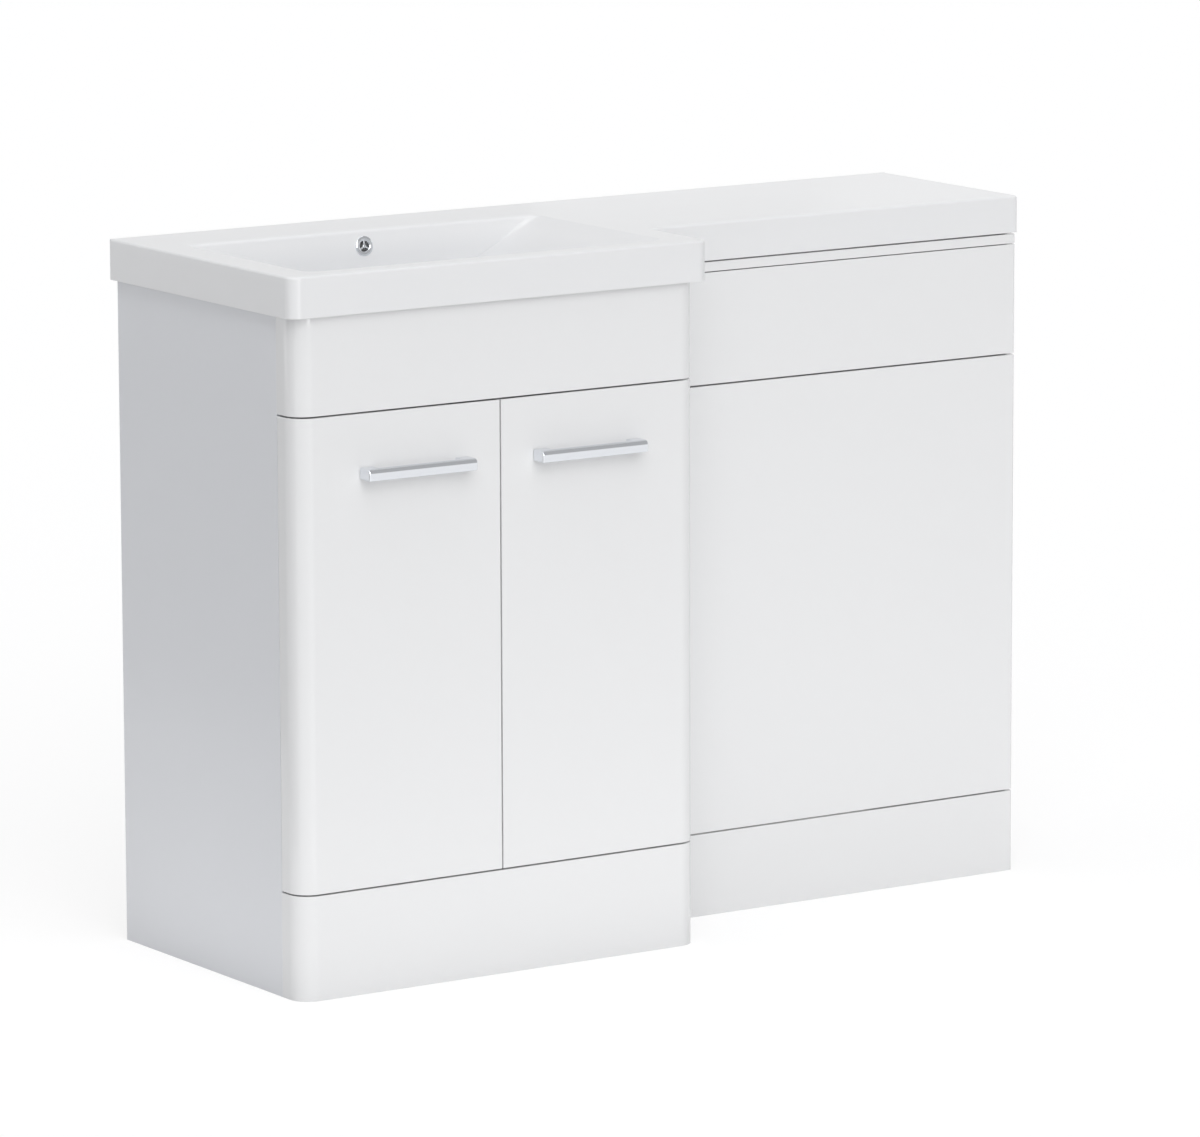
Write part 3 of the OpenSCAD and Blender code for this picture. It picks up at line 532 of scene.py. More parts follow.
class Effect(Enum):
    """Shared effects as node groups, each named for the method that wires it."""

    TONE_DRIFT = "tone_drift"
    UNEVEN_GLOSS = "uneven_gloss"
    RIPPLE = "surface_ripple"
    STREAKS = "drawn_streaks"
    WORN_EDGE = "worn_edge"
    BOARD_CORE = "board_core"
    CUT_SIDES = "cut_sides"
    # Painted shade: greys the bowl's colour with depth in place of the shade that falls there.
    DULLED_HOLLOW = "dulled_hollow"


class Group(Wiring):
    """Wiring of a node group with named inputs and outputs."""

    def __init__(self, name: str) -> None:
        """Makes the group, with its own coordinates."""
        super().__init__(bpy.data.node_groups.new(name, "ShaderNodeTree"))
        self.place = self.put("ShaderNodeTexCoord").outputs

    def take(self, **defaults: float | tuple[float, ...]) -> bpy.types.NodeOutputs:
        """Gives the group its inputs.

        Args:
            defaults: Default of each input by name, with _ for a space: one number, three
                for a vector or four for a colour.

        Returns:
            The inputs, as sockets inside the group.
        """
        kinds = {1: "NodeSocketFloat", 3: "NodeSocketVector", 4: "NodeSocketColor"}
        for label, value in defaults.items():
            kind = kinds[len(value) if isinstance(value, tuple) else 1]
            socket = self.tree.interface.new_socket(
                label.replace("_", " "), in_out="INPUT", socket_type=kind
            )
            socket.default_value = value
        return self.put("NodeGroupInput").outputs

    def give(self, **results: bpy.types.NodeSocket) -> None:
        """Puts out results by name; the one named Color is a colour, the others numbers.

        Args:
            results: The sockets that feed the outputs.
        """
        for label in results:
            kind = "NodeSocketColor" if label == "Color" else "NodeSocketFloat"
            self.tree.interface.new_socket(label, in_out="OUTPUT", socket_type=kind)
        self.put("NodeGroupOutput", results)


class Effects:
    """Builds each shared effect once."""

    PALE = (0.8, 0.8, 0.8, 1.0)

    def __init__(self) -> None:
        """Builds all groups."""
        self.groups = {effect: Group(effect.value) for effect in Effect}
        for effect, group in self.groups.items():
            getattr(self, effect.value)(group)

    def tone_drift(self, group: Group) -> None:
        """Wires a colour that is a little lighter and darker in soft clouds.

        Args:
            group: The group that is wired.
        """
        taken = group.take(Color=self.PALE, Amount=0.02, Scale=4.0)
        clouds = group.noise(Vector=group.place["Object"], Scale=taken["Scale"], Detail=3.0)
        factor = group.around(clouds, 1.0, taken["Amount"])
        scaled = group.put(
            "ShaderNodeVectorMath", {0: taken["Color"], "Scale": factor}, operation="SCALE"
        )
        group.give(Color=scaled.outputs[0])

    def uneven_gloss(self, group: Group) -> None:
        """Wires a roughness that drifts with wiping and handling.

        Args:
            group: The group that is wired.
        """
        taken = group.take(Roughness=0.2, Spread=0.03, Scale=12.0)
        marks = group.noise(
            Vector=group.place["Object"], Scale=taken["Scale"], Detail=6.0, Roughness=0.65
        )
        group.give(Roughness=group.around(marks, taken["Roughness"], taken["Spread"]))

    def surface_ripple(self, group: Group) -> None:
        """Wires the height of a faint, slow ripple with a finer one on it.

        Args:
            group: The group that is wired.
        """
        taken = group.take(Scale=60.0, Fine_Share=0.3)
        place = group.place["Object"]
        slow = group.noise(Vector=place, Scale=taken["Scale"], Detail=1.0)
        fine_scale = group.math("MULTIPLY", taken["Scale"], 9.0)
        fine = group.noise(Vector=place, Scale=fine_scale, Detail=2.0)
        share = group.math("MULTIPLY", fine, taken["Fine Share"])
        group.give(Height=group.math("ADD", slow, share))

    def drawn_streaks(self, group: Group) -> None:
        """Wires fine streaks along the direction in which the stretch is smallest.

        Args:
            group: The group that is wired.
        """
        taken = group.take(Stretch=(20.0, 600.0, 600.0), Roughness=0.25, Spread=0.08)
        drawn = group.stretch(group.place["Object"], taken["Stretch"])
        lines = group.noise(Vector=drawn, Scale=1.0, Detail=3.0)
        rough = group.around(lines, taken["Roughness"], taken["Spread"])
        group.give(Height=lines, Roughness=rough)

    def worn_edge(self, group: Group) -> None:
        """Wires a colour that changes along the outer edges, broken up by handling.

        Args:
            group: The group that is wired.
        """
        taken = group.take(
            Color=self.PALE, Edge_Color=(0.7, 0.7, 0.7, 1.0), Pointiness=0.5, Amount=0.5
        )
        breaks = group.noise(Vector=group.place["Object"], Scale=45.0, Detail=4.0)
        edge = group.put(
            "ShaderNodeMapRange", {"Value": taken["Pointiness"], "From Min": 0.52, "From Max": 0.62}
        )
        mask = group.math("MULTIPLY", edge.outputs[0], breaks)
        share = group.math("MULTIPLY", mask, taken["Amount"])
        group.give(Color=group.blend(share, taken["Color"], taken["Edge Color"]))

    def board_core(self, group: Group) -> None:
        """Wires pressed wood chips, as on the sawn edge of a faced board.

        Args:
            group: The group that is wired.
        """
        taken = group.take(Light=(0.56, 0.42, 0.26, 1.0), Dark=(0.28, 0.18, 0.1, 1.0))
        place = group.place["Object"]
        squeezed = group.stretch(place, (2.2, 1.0, 1.0))
        chips = group.put("ShaderNodeTexVoronoi", {"Vector": squeezed, "Scale": 420.0})
        dust = group.noise(Vector=place, Scale=900.0, Detail=4.0)
        tone = group.put("ShaderNodeSeparateColor", {0: chips.outputs["Color"]}).outputs[0]
        mixed = group.math("MULTIPLY_ADD", dust, 0.5, group.math("MULTIPLY", tone, 0.5))
        group.give(Color=group.blend(mixed, taken["Dark"], taken["Light"]), Height=mixed)

    def cut_sides(self, group: Group) -> None:
        """Wires a mask of the faces that look along either of two directions.

        Args:
            group: The group that is wired.
        """
        taken = group.take(First=(0.0, 1.0, 0.0), Second=(0.0, 0.0, -1.0))
        shares = [
            group.put(
                "ShaderNodeVectorMath", {0: group.place["Normal"], 1: taken[label]},
                operation="DOT_PRODUCT",
            ).outputs["Value"]
            for label in ("First", "Second")
        ]
        group.give(Mask=group.math("GREATER_THAN", group.math("MAXIMUM", *shares), 0.9))

    def dulled_hollow(self, group: Group) -> None:
        """Wires painted shade: a colour that greys with depth inside an upright box, standing in
        for the shade in the bowl.

        Args:
            group: The group that is wired.
        """
        taken = group.take(
            Color=self.PALE, Dull_Color=(0.7, 0.7, 0.7, 1.0), Middle=(0.0, 0.0, 0.0),
            Half_Size=(1.0, 1.0, 1.0),
        )
        here, middle, half = (
            group.put("ShaderNodeSeparateXYZ", {0: vector}).outputs
            for vector in (group.place["Object"], taken["Middle"], taken["Half Size"])
        )
        inside = group.math("MULTIPLY", *(
            group.math("COMPARE", here[k], middle[k], half[k]) for k in range(2)
        ))
        top = group.math("ADD", middle[2], half[2])
        bottom = group.math("SUBTRACT", middle[2], half[2])
        depth = group.put(
            "ShaderNodeMapRange", {"Value": here[2], "From Min": top, "From Max": bottom}
        )
        share = group.math("MULTIPLY", inside, depth.outputs[0])
        group.give(Color=group.blend(share, taken["Color"], taken["Dull Color"]))


class Surface(Wiring):
    """Wiring of one material around its Principled shader."""

    def __init__(self, name: str, effects: Effects) -> None:
        """Makes the material with its shader and its output.

        Args:
            name: Name of the material.
            effects: The shared effects.
        """
        self.look = bpy.data.materials.new(name)
        self.effects = effects
        super().__init__(cleared_tree(self.look))
        shader = self.put("ShaderNodeBsdfPrincipled")
        self.inputs = shader.inputs
        self.put("ShaderNodeOutputMaterial", {"Surface": shader.outputs[0]})

    def apply(self, effect: Effect, **inputs: object) -> bpy.types.NodeOutputs:
        """Places a shared effect.

        Args:
            effect: The effect.
            inputs: Values or sockets by input name, with _ for a space.

        Returns:
            The effect's outputs.
        """
        node = self.put("ShaderNodeGroup", node_tree=self.effects.groups[effect].tree)
        for key, value in inputs.items():
            is_color = isinstance(value, tuple) and "Color" in key
            self.feed(node.inputs[key.replace("_", " ")], opaque(value) if is_color else value)
        return node.outputs

    def dress(self, **feeds: object) -> None:
        """Feeds the shader's inputs, each by its name with _ for a space."""
        for key, value in feeds.items():
            self.feed(self.inputs[key.replace("_", " ")], value)

    def relief(self, height: bpy.types.NodeSocket, depth: float) -> bpy.types.NodeSocket:
        """Turns a height into a normal, at a depth in metres."""
        bump = self.put("ShaderNodeBump", {"Strength": 1.0, "Distance": depth, "Height": height})
        return bump.outputs[0]


@dataclass(frozen=True)
class Finish:
    """A finish: its slot, colour and gloss, and how much they drift."""

    slot: Slot
    color: Triple
    roughness: float
    spread: float = 0.02
    drift: float = 0.01
    drift_scale: float = 3.0
    gloss_scale: float = 9.0
    bump: float = 0.0
    bump_scale: float = 60.0
    specular: float = 0.5

    def material(self, effects: Effects) -> bpy.types.Material:
        """Builds the material of this finish.

        Args:
            effects: The shared effects.

        Returns:
            The material.
        """
        surface = Surface(self.slot.value, effects)
        surface.dress(Specular_IOR_Level=self.specular)
        self.wire(surface)
        return surface.look

    def wire(self, surface: Surface) -> None:
        """Wires colour, gloss and a faint relief.

        Args:
            surface: The material's surface.
        """
        surface.dress(Base_Color=self.tone(surface), Roughness=self.gloss(surface))
        if self.bump > 0:
            ripple = surface.apply(Effect.RIPPLE, Scale=self.bump_scale)["Height"]
            surface.dress(Normal=surface.relief(ripple, self.bump))

    def tone(self, surface: Surface) -> bpy.types.NodeSocket:
        """Wires this finish's colour with its drift.

        Args:
            surface: The material's surface.

        Returns:
            The colour.
        """
        return surface.apply(
            Effect.TONE_DRIFT, Color=self.color, Amount=self.drift, Scale=self.drift_scale
        )["Color"]

    def gloss(self, surface: Surface) -> bpy.types.NodeSocket:
        """Wires this finish's roughness with its marks.

        Args:
            surface: The material's surface.

        Returns:
            The roughness.
        """
        return surface.apply(
            Effect.UNEVEN_GLOSS, Roughness=self.roughness, Spread=self.spread,
            Scale=self.gloss_scale,
        )["Roughness"]


@dataclass(frozen=True)
class GlossFinish(Finish):
    """White lacquer, foil or gel coat under a clear gloss, a little duller at its edges."""

    coat: float = 0.3
    coat_roughness: float = 0.04
    edge_color: Triple = (0.74, 0.74, 0.73)
    edge_amount: float = 0.25

    def wire(self, surface: Surface) -> None:
        """Wires the surface with its clear coat."""
        surface.dress(Coat_Weight=self.coat, Coat_Roughness=self.coat_roughness)
        super().wire(surface)

    def tone(self, surface: Surface) -> bpy.types.NodeSocket:
        """Wires the colour with its duller edges.

        Args:
            surface: The material's surface.

        Returns:
            The colour.
        """
        return surface.apply(
            Effect.WORN_EDGE, Color=super().tone(surface), Edge_Color=self.edge_color,
            Pointiness=surface.put("ShaderNodeNewGeometry").outputs["Pointiness"],
            Amount=self.edge_amount,
        )["Color"]


@dataclass(frozen=True)
class CastFinish(GlossFinish):
    """Gel-coated casting, with shade painted into its colour in the bowl below the deck."""

    # Grey that paints the bowl's shade into the casting's colour, and the box where it is painted.
    dull_color: Triple = (0.75, 0.755, 0.765)
    hollow_middle: Triple = (0.0, 0.0, 0.0)
    shade_half: Triple = (0.0, 0.0, 0.0)

    def tone(self, surface: Surface) -> bpy.types.NodeSocket:
        """Wires the colour, with painted shade in the bowl.

        Args:
            surface: The material's surface.

        Returns:
            The colour.
        """
        return surface.apply(
            Effect.DULLED_HOLLOW, Color=super().tone(surface), Dull_Color=self.dull_color,
            Middle=self.hollow_middle, Half_Size=self.shade_half,
        )["Color"]


@dataclass(frozen=True)
class BoardFinish(Finish):
    """Faced board whose sawn edges show its core of pressed chips."""

    first_cut: Triple = (0.0, 1.0, 0.0)
    second_cut: Triple = (0.0, 0.0, -1.0)
    core_depth: float = 0.4 * MM
    core_roughness: float = 0.9

    def wire(self, surface: Surface) -> None:
        """Wires the faces and the sawn edges.

        Args:
            surface: The material's surface.
        """
        mask = surface.apply(
            Effect.CUT_SIDES, First=self.first_cut, Second=self.second_cut
        )["Mask"]
        core = surface.apply(Effect.BOARD_CORE)
        dull = surface.math("MULTIPLY", mask, self.core_roughness)
        ripple = surface.apply(Effect.RIPPLE, Scale=self.bump_scale)["Height"]
        chips = surface.math("MULTIPLY", core["Height"], mask)
        faint = surface.math("MULTIPLY", ripple, self.bump / self.core_depth)
        surface.dress(
            Base_Color=surface.blend(mask, self.tone(surface), core["Color"]),
            Roughness=surface.math("MAXIMUM", self.gloss(surface), dull),
            Normal=surface.relief(surface.math("ADD", chips, faint), self.core_depth),
        )


@dataclass(frozen=True)
class MetalFinish(Finish):
    """Plated or polished metal with fine streaks from drawing and polishing."""

    streak_stretch: Triple = (30.0, 900.0, 900.0)
    streak_depth: float = 0.004 * MM

    def wire(self, surface: Surface) -> None:
        """Wires the metal and its streaks.

        Args:
            surface: The material's surface.
        """
        streaks = surface.apply(
            Effect.STREAKS, Stretch=self.streak_stretch, Roughness=self.roughness,
            Spread=self.spread,
        )
        surface.dress(
            Metallic=1.0, Base_Color=self.tone(surface), Roughness=streaks["Roughness"],
            Normal=surface.relief(streaks["Height"], self.streak_depth),
        )


@dataclass(frozen=True)
class TimberFinish(Finish):
    """Sawn softwood with growth rings along X."""

    late_color: Triple = (0.42, 0.27, 0.14)
    ring_scale: float = 90.0
    ring_stretch: Triple = (0.08, 1.0, 1.0)

    def wire(self, surface: Surface) -> None:
        """Wires the grain.

        Args:
            surface: The material's surface.
        """
        place = surface.put("ShaderNodeTexCoord").outputs["Object"]
        along = surface.stretch(place, self.ring_stretch)
        rings = surface.put(
            "ShaderNodeTexWave",
            {"Vector": along, "Scale": self.ring_scale, "Distortion": 3.0, "Detail": 3.0},
            wave_type="RINGS",
        ).outputs[1]
        surface.dress(
            Base_Color=surface.blend(rings, self.tone(surface), self.late_color),
            Roughness=self.gloss(surface),
            Normal=surface.relief(rings, self.bump),
        )


@dataclass(frozen=True)
class ClearFinish(Finish):
    """Clear soft plastic, a little cloudy."""

    transmission: float = 0.7

    def wire(self, surface: Surface) -> None:
        """Wires the clear surface."""
        surface.dress(Transmission_Weight=self.transmission)
        super().wire(surface)


class Palette:
    """All materials of the object."""

    BOARD = BoardFinish(
        Slot.BOARD, (0.78, 0.78, 0.77), 0.42, spread=0.05, bump=0.01 * MM,
    )
    RAIL = replace(BOARD, first_cut=(0.0, 0.0, 1.0))
    FINISHES: tuple[Finish, ...] = (
        GlossFinish(
            Slot.FRONT, (0.798, 0.80, 0.803), 0.07, spread=0.015, drift=0.004,
            bump=0.004 * MM, bump_scale=35.0,
        ),
        # Gable board: a bluer, slightly darker white than the fronts, partly the board's own tone
        # and partly painted bluish shade of the cabinet's shaded sides.
        BoardFinish(
            Slot.GABLE, (0.769, 0.780, 0.806), 0.18, drift=0.004, bump=0.004 * MM,
            bump_scale=40.0,
        ),
        BOARD,
        MetalFinish(Slot.CHROME, (0.765, 0.785, 0.82), 0.07, spread=0.03),
        MetalFinish(Slot.NICKEL, (0.60, 0.59, 0.57), 0.3, spread=0.08, streak_depth=0.01 * MM),
        TimberFinish(
            Slot.TIMBER, (0.66, 0.50, 0.32), 0.7, spread=0.06, drift=0.05, bump=0.2 * MM
        ),
        Finish(
            Slot.PLASTIC, (0.72, 0.72, 0.71), 0.4, spread=0.06, bump=0.02 * MM, bump_scale=220.0
        ),
        ClearFinish(Slot.BUFFER, (0.88, 0.9, 0.91), 0.25, spread=0.05),
        Finish(
            Slot.RUBBER, (0.03, 0.03, 0.03), 0.6, spread=0.08, bump=0.04 * MM, bump_scale=180.0
        ),
    )
    CAST = CastFinish(
        Slot.CAST, (0.80, 0.803, 0.809), 0.3, spread=0.03, drift=0.006, bump=0.008 * MM,
        bump_scale=22.0, coat=0.0, edge_color=(0.80, 0.80, 0.80), specular=0.36,
    )

    def __init__(self, effects: Effects, hollow: Extent) -> None:
        """Builds every material.

        Args:
            effects: The shared effects.
            hollow: Box in which shade is painted into the casting's colour.
        """
        # The cast top's material paints shade into this box.
        cast = replace(
            self.CAST, hollow_middle=tuple(hollow.middle), shade_half=tuple(hollow.size / 2)
        )
        self.looks = {each.slot: each.material(effects) for each in (*self.FINISHES, cast)}
        self.rail_look = self.RAIL.material(effects)

    def dress(self, node: str, piece: bpy.types.Object, look: bpy.types.Material) -> None:
        """Gives a piece its only material.

        Args:
            node: The node that it is or stands for.
            piece: The piece.
            look: The material.
        """
        piece.data.materials.clear()
        piece.data.materials.append(look)
        LOG.info("%s shows %s in %s", piece.name, node, look.name)

    def place(self, piece: bpy.types.Object, body: Body, slot: Slot, node: str) -> None:
        """Dresses a finished piece, lets it ride on its body and stand for its node.

        Args:
            piece: The piece.
            body: The body that it moves with.
            slot: The record's slot for its finish.
            node: The node that it stands for.
        """
        self.dress(node, piece, self.looks[slot])
        smooth(piece)
        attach(piece, body.value)
        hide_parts(node)


# Sub-assemblies


@dataclass(frozen=True)
class BowlWall:
    """One wall of the bowl: how far it leans in, and its radii at the rim and floor.

    Each method gives the inset from the rim line and the drop below the deck.
    """

    run: float
    rim_r: float
    floor_r: float

    def steepness(self, depth: float) -> float:
        """Angle between the wall and the deck."""
        return math.atan2(depth, self.run)

    def at_rim(self, share: float, depth: float) -> tuple[float, float]:
        """Finds a point of the roll between the deck and the wall.

        Args:
            share: Share of the roll, from the deck on.
            depth: Depth of the bowl.

        Returns:
            Inset and drop.
        """
        angle = self.steepness(depth)
        turn = share * angle
        inset = self.rim_r * (math.sin(turn) - math.tan(angle / 2))
        return inset, self.rim_r * (1 - math.cos(turn))

    def at_floor(self, share: float, depth: float) -> tuple[float, float]:
        """Finds a point of the roll between the wall and the floor.

        Args:
            share: Share of the roll, from the wall on.
            depth: Depth of the bowl.

        Returns:
            Inset and drop.
        """
        angle = self.steepness(depth)
        turn = (1 - share) * angle
        inset = self.run + self.floor_r * (math.tan(angle / 2) - math.sin(turn))
        return inset, depth - self.floor_r * (1 - math.cos(turn))

    def between(self, share: float, depth: float) -> tuple[float, float]:
        """Finds a point on the flat of the wall.

        Args:
            share: Share of the flat, from the rim on.
            depth: Depth of the bowl.

        Returns:
            Inset and drop.
        """
        start = Vector(self.at_rim(1.0, depth))
        end = Vector(self.at_floor(0.0, depth))
        return tuple(start.lerp(end, share))

    def outside(self, drop: float, depth: float, grow: float) -> tuple[float, float]:
        """Inset and drop of the outer face of a shell that is as thick as grow."""
        return drop * self.run / depth - grow / math.sin(self.steepness(depth)), drop


@dataclass
class Bowl:
    """Moulded bowl with two long ramps, a leaning front wall and a steep back wall."""

    from_left: float = 32 * MM
    from_right: float = 30 * MM
    from_front: float = 24 * MM
    from_wall: float = 100 * MM
    depth: float = 100 * MM
    floor_w: float = 76 * MM
    # Depths below the deck over which shade is painted into the bowl's colour.
    shade_from: float = 12 * MM
    shade_to: float = 33 * MM
    rim_corner_r: float = 18 * MM
    crease_r: float = 2.5 * MM
    crease_shares: tuple[float, ...] = (0.04, 0.1, 0.18, 0.28)
    shell_t: float = 9 * MM
    roll_steps: int = 8
    corner_steps: int = 8
    ramp_rim_r: float = 9 * MM
    ramp_floor_r: float = 60 * MM
    front_wall: BowlWall = BowlWall(50 * MM, 5 * MM, 16 * MM)
    back_wall: BowlWall = BowlWall(14 * MM, 5 * MM, 12 * MM)

    def __post_init__(self) -> None:
        """Places the bowl's rim over the cabinet."""
        top = Extent.of("basin_top")
        self.left = Extent.of("basin_gable_left").low.x + self.from_left
        self.right = Extent.of("basin_gable_right").high.x - self.from_right
        self.front = Extent.of("basin_fascia").low.y + self.from_front
        self.back = top.high.y - self.from_wall
        self.deck = top.high.z
        ramp_run = (self.right - self.left - self.floor_w) / 2
        self.ramp = BowlWall(ramp_run, self.ramp_rim_r, self.ramp_floor_r)
        self.lean = math.atan2(self.back_wall.run, self.depth)

    def painted_shade_box(self) -> Extent:
        """Box in which shade is painted into the bowl's colour, from under the rim down."""
        low = Vector((self.left, self.front, self.deck - self.shade_to))
        return Extent(low, Vector((self.right, self.back, self.deck - self.shade_from)))

    def on_back_wall(self, x: float, z: float) -> Vector:
        """Point of the back wall at a height."""
        return Vector((x, self.back - (self.deck - z) * math.tan(self.lean), z))

    def ring(
        self, at: Callable[[BowlWall], tuple[float, float]], corner_r: float
    ) -> list[Vector]:
        """Makes one ring around the bowl.

        Args:
            at: Gives the inset and drop on a wall.
            corner_r: Radius of the ring's corners in plan.

        Returns:
            The ring's points, counter-clockwise from the front left corner.
        """
        side, side_drop = at(self.ramp)
        front, front_drop = at(self.front_wall)
        back, back_drop = at(self.back_wall)
        low = Vector((self.left + side, self.front + front))
        high = Vector((self.right - side, self.back - back))
        points = []
        for p in rounded_outline(rectangle(low, high, corner_r), 0, 0, self.corner_steps):
            long_drop = front_drop if p.out.y < 0 else back_drop
            drop = side_drop * p.out.x ** 2 + long_drop * p.out.y ** 2
            points.append(Vector((*p.at, self.deck - drop)))
        return points

    def inside(self, name: str, above: float) -> bpy.types.Object:
        """Makes the bowl's inside as a solid.

        Args:
            name: Name of the object.
            above: How far it reaches above the deck.

        Returns:
            The solid.
        """
        rim_r, crease_r, shares = self.rim_corner_r, self.crease_r, self.crease_shares
        rings = [
            self.ring(lambda wall: wall.at_rim(share, self.depth), rim_r)
            for share in equal_steps(1.0, self.roll_steps)
        ]
        lid = [point + Vector((0, 0, above)) for point in rings[0]]
        for share in shares:
            eased_r = rim_r + (crease_r - rim_r) * share / shares[-1]
            rings.append(self.ring(lambda wall: wall.between(share, self.depth), eased_r))
        rings += [
            self.ring(lambda wall: wall.at_floor(share, self.depth), crease_r)
            for share in equal_steps(1.0, self.roll_steps)
        ]
        return loft(name, [lid, *rings])

    def outside(self, name: str, top_drop: float) -> bpy.types.Object:
        """Makes the outer form of the bowl's shell.

        Args:
            name: Name of the object.
            top_drop: How far below the deck it starts.

        Returns:
            The solid.
        """
        grow = self.shell_t
        return loft(name, [
            self.ring(lambda wall: wall.outside(drop, self.depth, grow), self.rim_corner_r + grow)
            for drop in (top_drop, self.depth + grow)
        ])


@dataclass
class CastTop:
    """One-piece cast top: L-shaped deck, skirt, bowl and overflow channel."""

    palette: Palette
    bowl: Bowl
    basin_corner_r: float = 15 * MM
    housing_corner_r: float = 6 * MM
    inner_corner_r: float = 3 * MM
    wall_corner_r: float = 1.6 * MM
    wall_edge_r: float = 0.8 * MM
    wall_reach: float = 6 * MM
    edge_r: float = 3.2 * MM
    lower_r: float = 0.5 * MM
    deck_t: float = 14 * MM
    ledge_w: float = 12 * MM
    channel_w: float = 26 * MM
    channel_t: float = 10 * MM
    channel_run_h: float = 8 * MM
    channel_wall_t: float = 5 * MM
    channel_setback: float = 6 * MM
    overflow_d: float = 18 * MM
    thread_r: float = 20.95 * MM
    waste_play: float = 1 * MM
    seat_t: float = 2.5 * MM
    seat_play: float = 0.05 * MM
    boss_over: float = 3.5 * MM
    cut: float = 1 * MM
    top: Extent = extent_field("basin_top")
    gable_left: Extent = extent_field("basin_gable_left")
    gable_right: Extent = extent_field("basin_gable_right")
    fascia: Extent = extent_field("basin_fascia")
    housing: Extent = extent_field("wc_lipping")
    housing_gable: Extent = extent_field("wc_gable_right")
    waste: Extent = extent_field("waste_body")
    seal: Extent = extent_field("waste_seal")
    ring: Extent = extent_field("overflow_ring")
    pads: Extent = extent_field("worktop_pads")

    def slab(self) -> bpy.types.Object:
        """Makes the L-shaped slab with its deeper skirt at the basin.

        Returns:
            The solid.
        """
        low, high = self.top.low, self.top.high
        side_x = self.gable_right.high.x
        step_x = side_x + (self.gable_left.low.x - low.x)
        step_y = self.housing.low.y - (high.x - self.housing_gable.high.x)
        near_wall = high.y - self.wall_reach
        head = [
            Corner(low.x, low.y, self.basin_corner_r),
            Corner(step_x, low.y, self.basin_corner_r),
        ]
        tail = [
            Corner(step_x, step_y, self.inner_corner_r),
            Corner(high.x, step_y, self.housing_corner_r),
            Corner(high.x, near_wall, out=(1, 0)),
            Corner(high.x, high.y, self.wall_corner_r, over=self.wall_edge_r),
            Corner(low.x, high.y, self.wall_corner_r, over=self.wall_edge_r),
            Corner(low.x, near_wall, out=(-1, 0)),
        ]
        plan = rounded_outline([*head, *tail], self.edge_r, self.lower_r)
        slab = rolled_prism("cast_top", plan, self.pads.high.z, high.z)
        notched = [
            *head,
            Corner(step_x, step_y, self.lower_r),
            Corner(side_x, step_y, self.lower_r),
            Corner(side_x, high.y, self.lower_r),
            Corner(low.x, high.y, self.wall_corner_r),
        ]
        plan = rounded_outline(notched, 0, self.lower_r)
        skirt = rolled_prism("skirt", plan, self.gable_left.high.z, high.z - self.deck_t)
        combine(slab, Combine.JOIN, [skirt])
        return slab

    def hollows(self) -> list[bpy.types.Object]:
        """Makes the hollows under the deck, inside the skirt.

        Returns:
            The solids to cut away.
        """
        ledge = self.ledge_w
        under = self.gable_left.high.z - self.cut
        wall, ceiling = self.top.high.y - ledge, self.top.high.z - self.deck_t
        spans = (
            (self.gable_left.low.x, self.fascia.low.y, self.gable_right.high.x),
            (self.gable_right.high.x, self.housing.low.y, self.housing_gable.high.x),
        )
        return [
            block("hollow", (left + ledge, front + ledge, under), (right - ledge, wall, ceiling))
            for left, front, right in spans
        ]

    def on_axis(self, z: float) -> Vector:
        """Point of the waste's axis at a height."""
        return Vector((*self.waste.middle.xy, z))

    def channel(self, grow: float) -> list[bpy.types.Object]:
        """Makes the overflow channel behind and under the bowl.

        Args:
            grow: Thickness of the walls around it, or 0 for its hollow.

        Returns:
            The solids of the channel.
        """
        bowl, middle = self.bowl, self.waste.middle
        half = self.channel_w / 2 + grow
        back = bowl.back + self.channel_setback + self.channel_t + grow
        low = self.seal.high.z + self.channel_wall_t - grow
        solids = []
        if grow > 0:
            near = bowl.back - bowl.back_wall.run
            top = self.top.high.z - self.deck_t / 2
            run_top = bowl.deck - bowl.depth - bowl.shell_t / 2
            boss_r = self.waste.size.x / 2 + self.boss_over
            solids.append(drill("boss", boss_r, self.on_axis(low), self.on_axis(run_top)))
        else:
            near = bowl.back + self.channel_setback
            top = self.ring.middle.z + self.overflow_d / 2 + self.cut
            run_top = low + self.channel_run_h
        return [
            block("channel", (middle.x - half, near, low), (middle.x + half, back, top)),
            block("channel", (middle.x - half, middle.y, low), (middle.x + half, back, run_top)),
            *solids,
        ]

    def bores(self) -> list[bpy.types.Object]:
        """Makes the overflow hole, the waste hole and the seat of the waste's flange.

        Returns:
            The solids to cut away.
        """
        lean = self.bowl.lean
        face = self.bowl.on_back_wall(self.waste.middle.x, self.ring.middle.z)
        inward = Vector((0, math.cos(lean), -math.sin(lean)))
        reach = self.channel_setback + self.channel_t
        floor = self.bowl.deck - self.bowl.depth
        start = self.on_axis(self.seal.high.z - self.cut)
        seat = self.on_axis(floor - self.seat_t)
        above = self.on_axis(floor) + Vector((0, 0, self.cut))
        return [
            drill("bore", self.overflow_d / 2, face - inward * self.cut, face + inward * reach),
            drill("bore", self.thread_r + self.waste_play, start, above),
            drill("bore", self.waste.size.x / 2 + self.seat_play, seat, above),
        ]

    def build(self) -> None:
        """Builds the whole top."""
        top = self.slab()
        combine(top, Combine.CUT, self.hollows())
        combine(top, Combine.JOIN, [self.bowl.outside("shell", self.deck_t / 2)])
        combine(top, Combine.JOIN, self.channel(self.channel_wall_t))
        combine(top, Combine.CUT, [self.bowl.inside("inside", self.cut)])
        combine(top, Combine.CUT, self.channel(0))
        combine(top, Combine.CUT, self.bores())
        self.palette.place(top, Body.CARCASS, Slot.CAST, "basin_top")


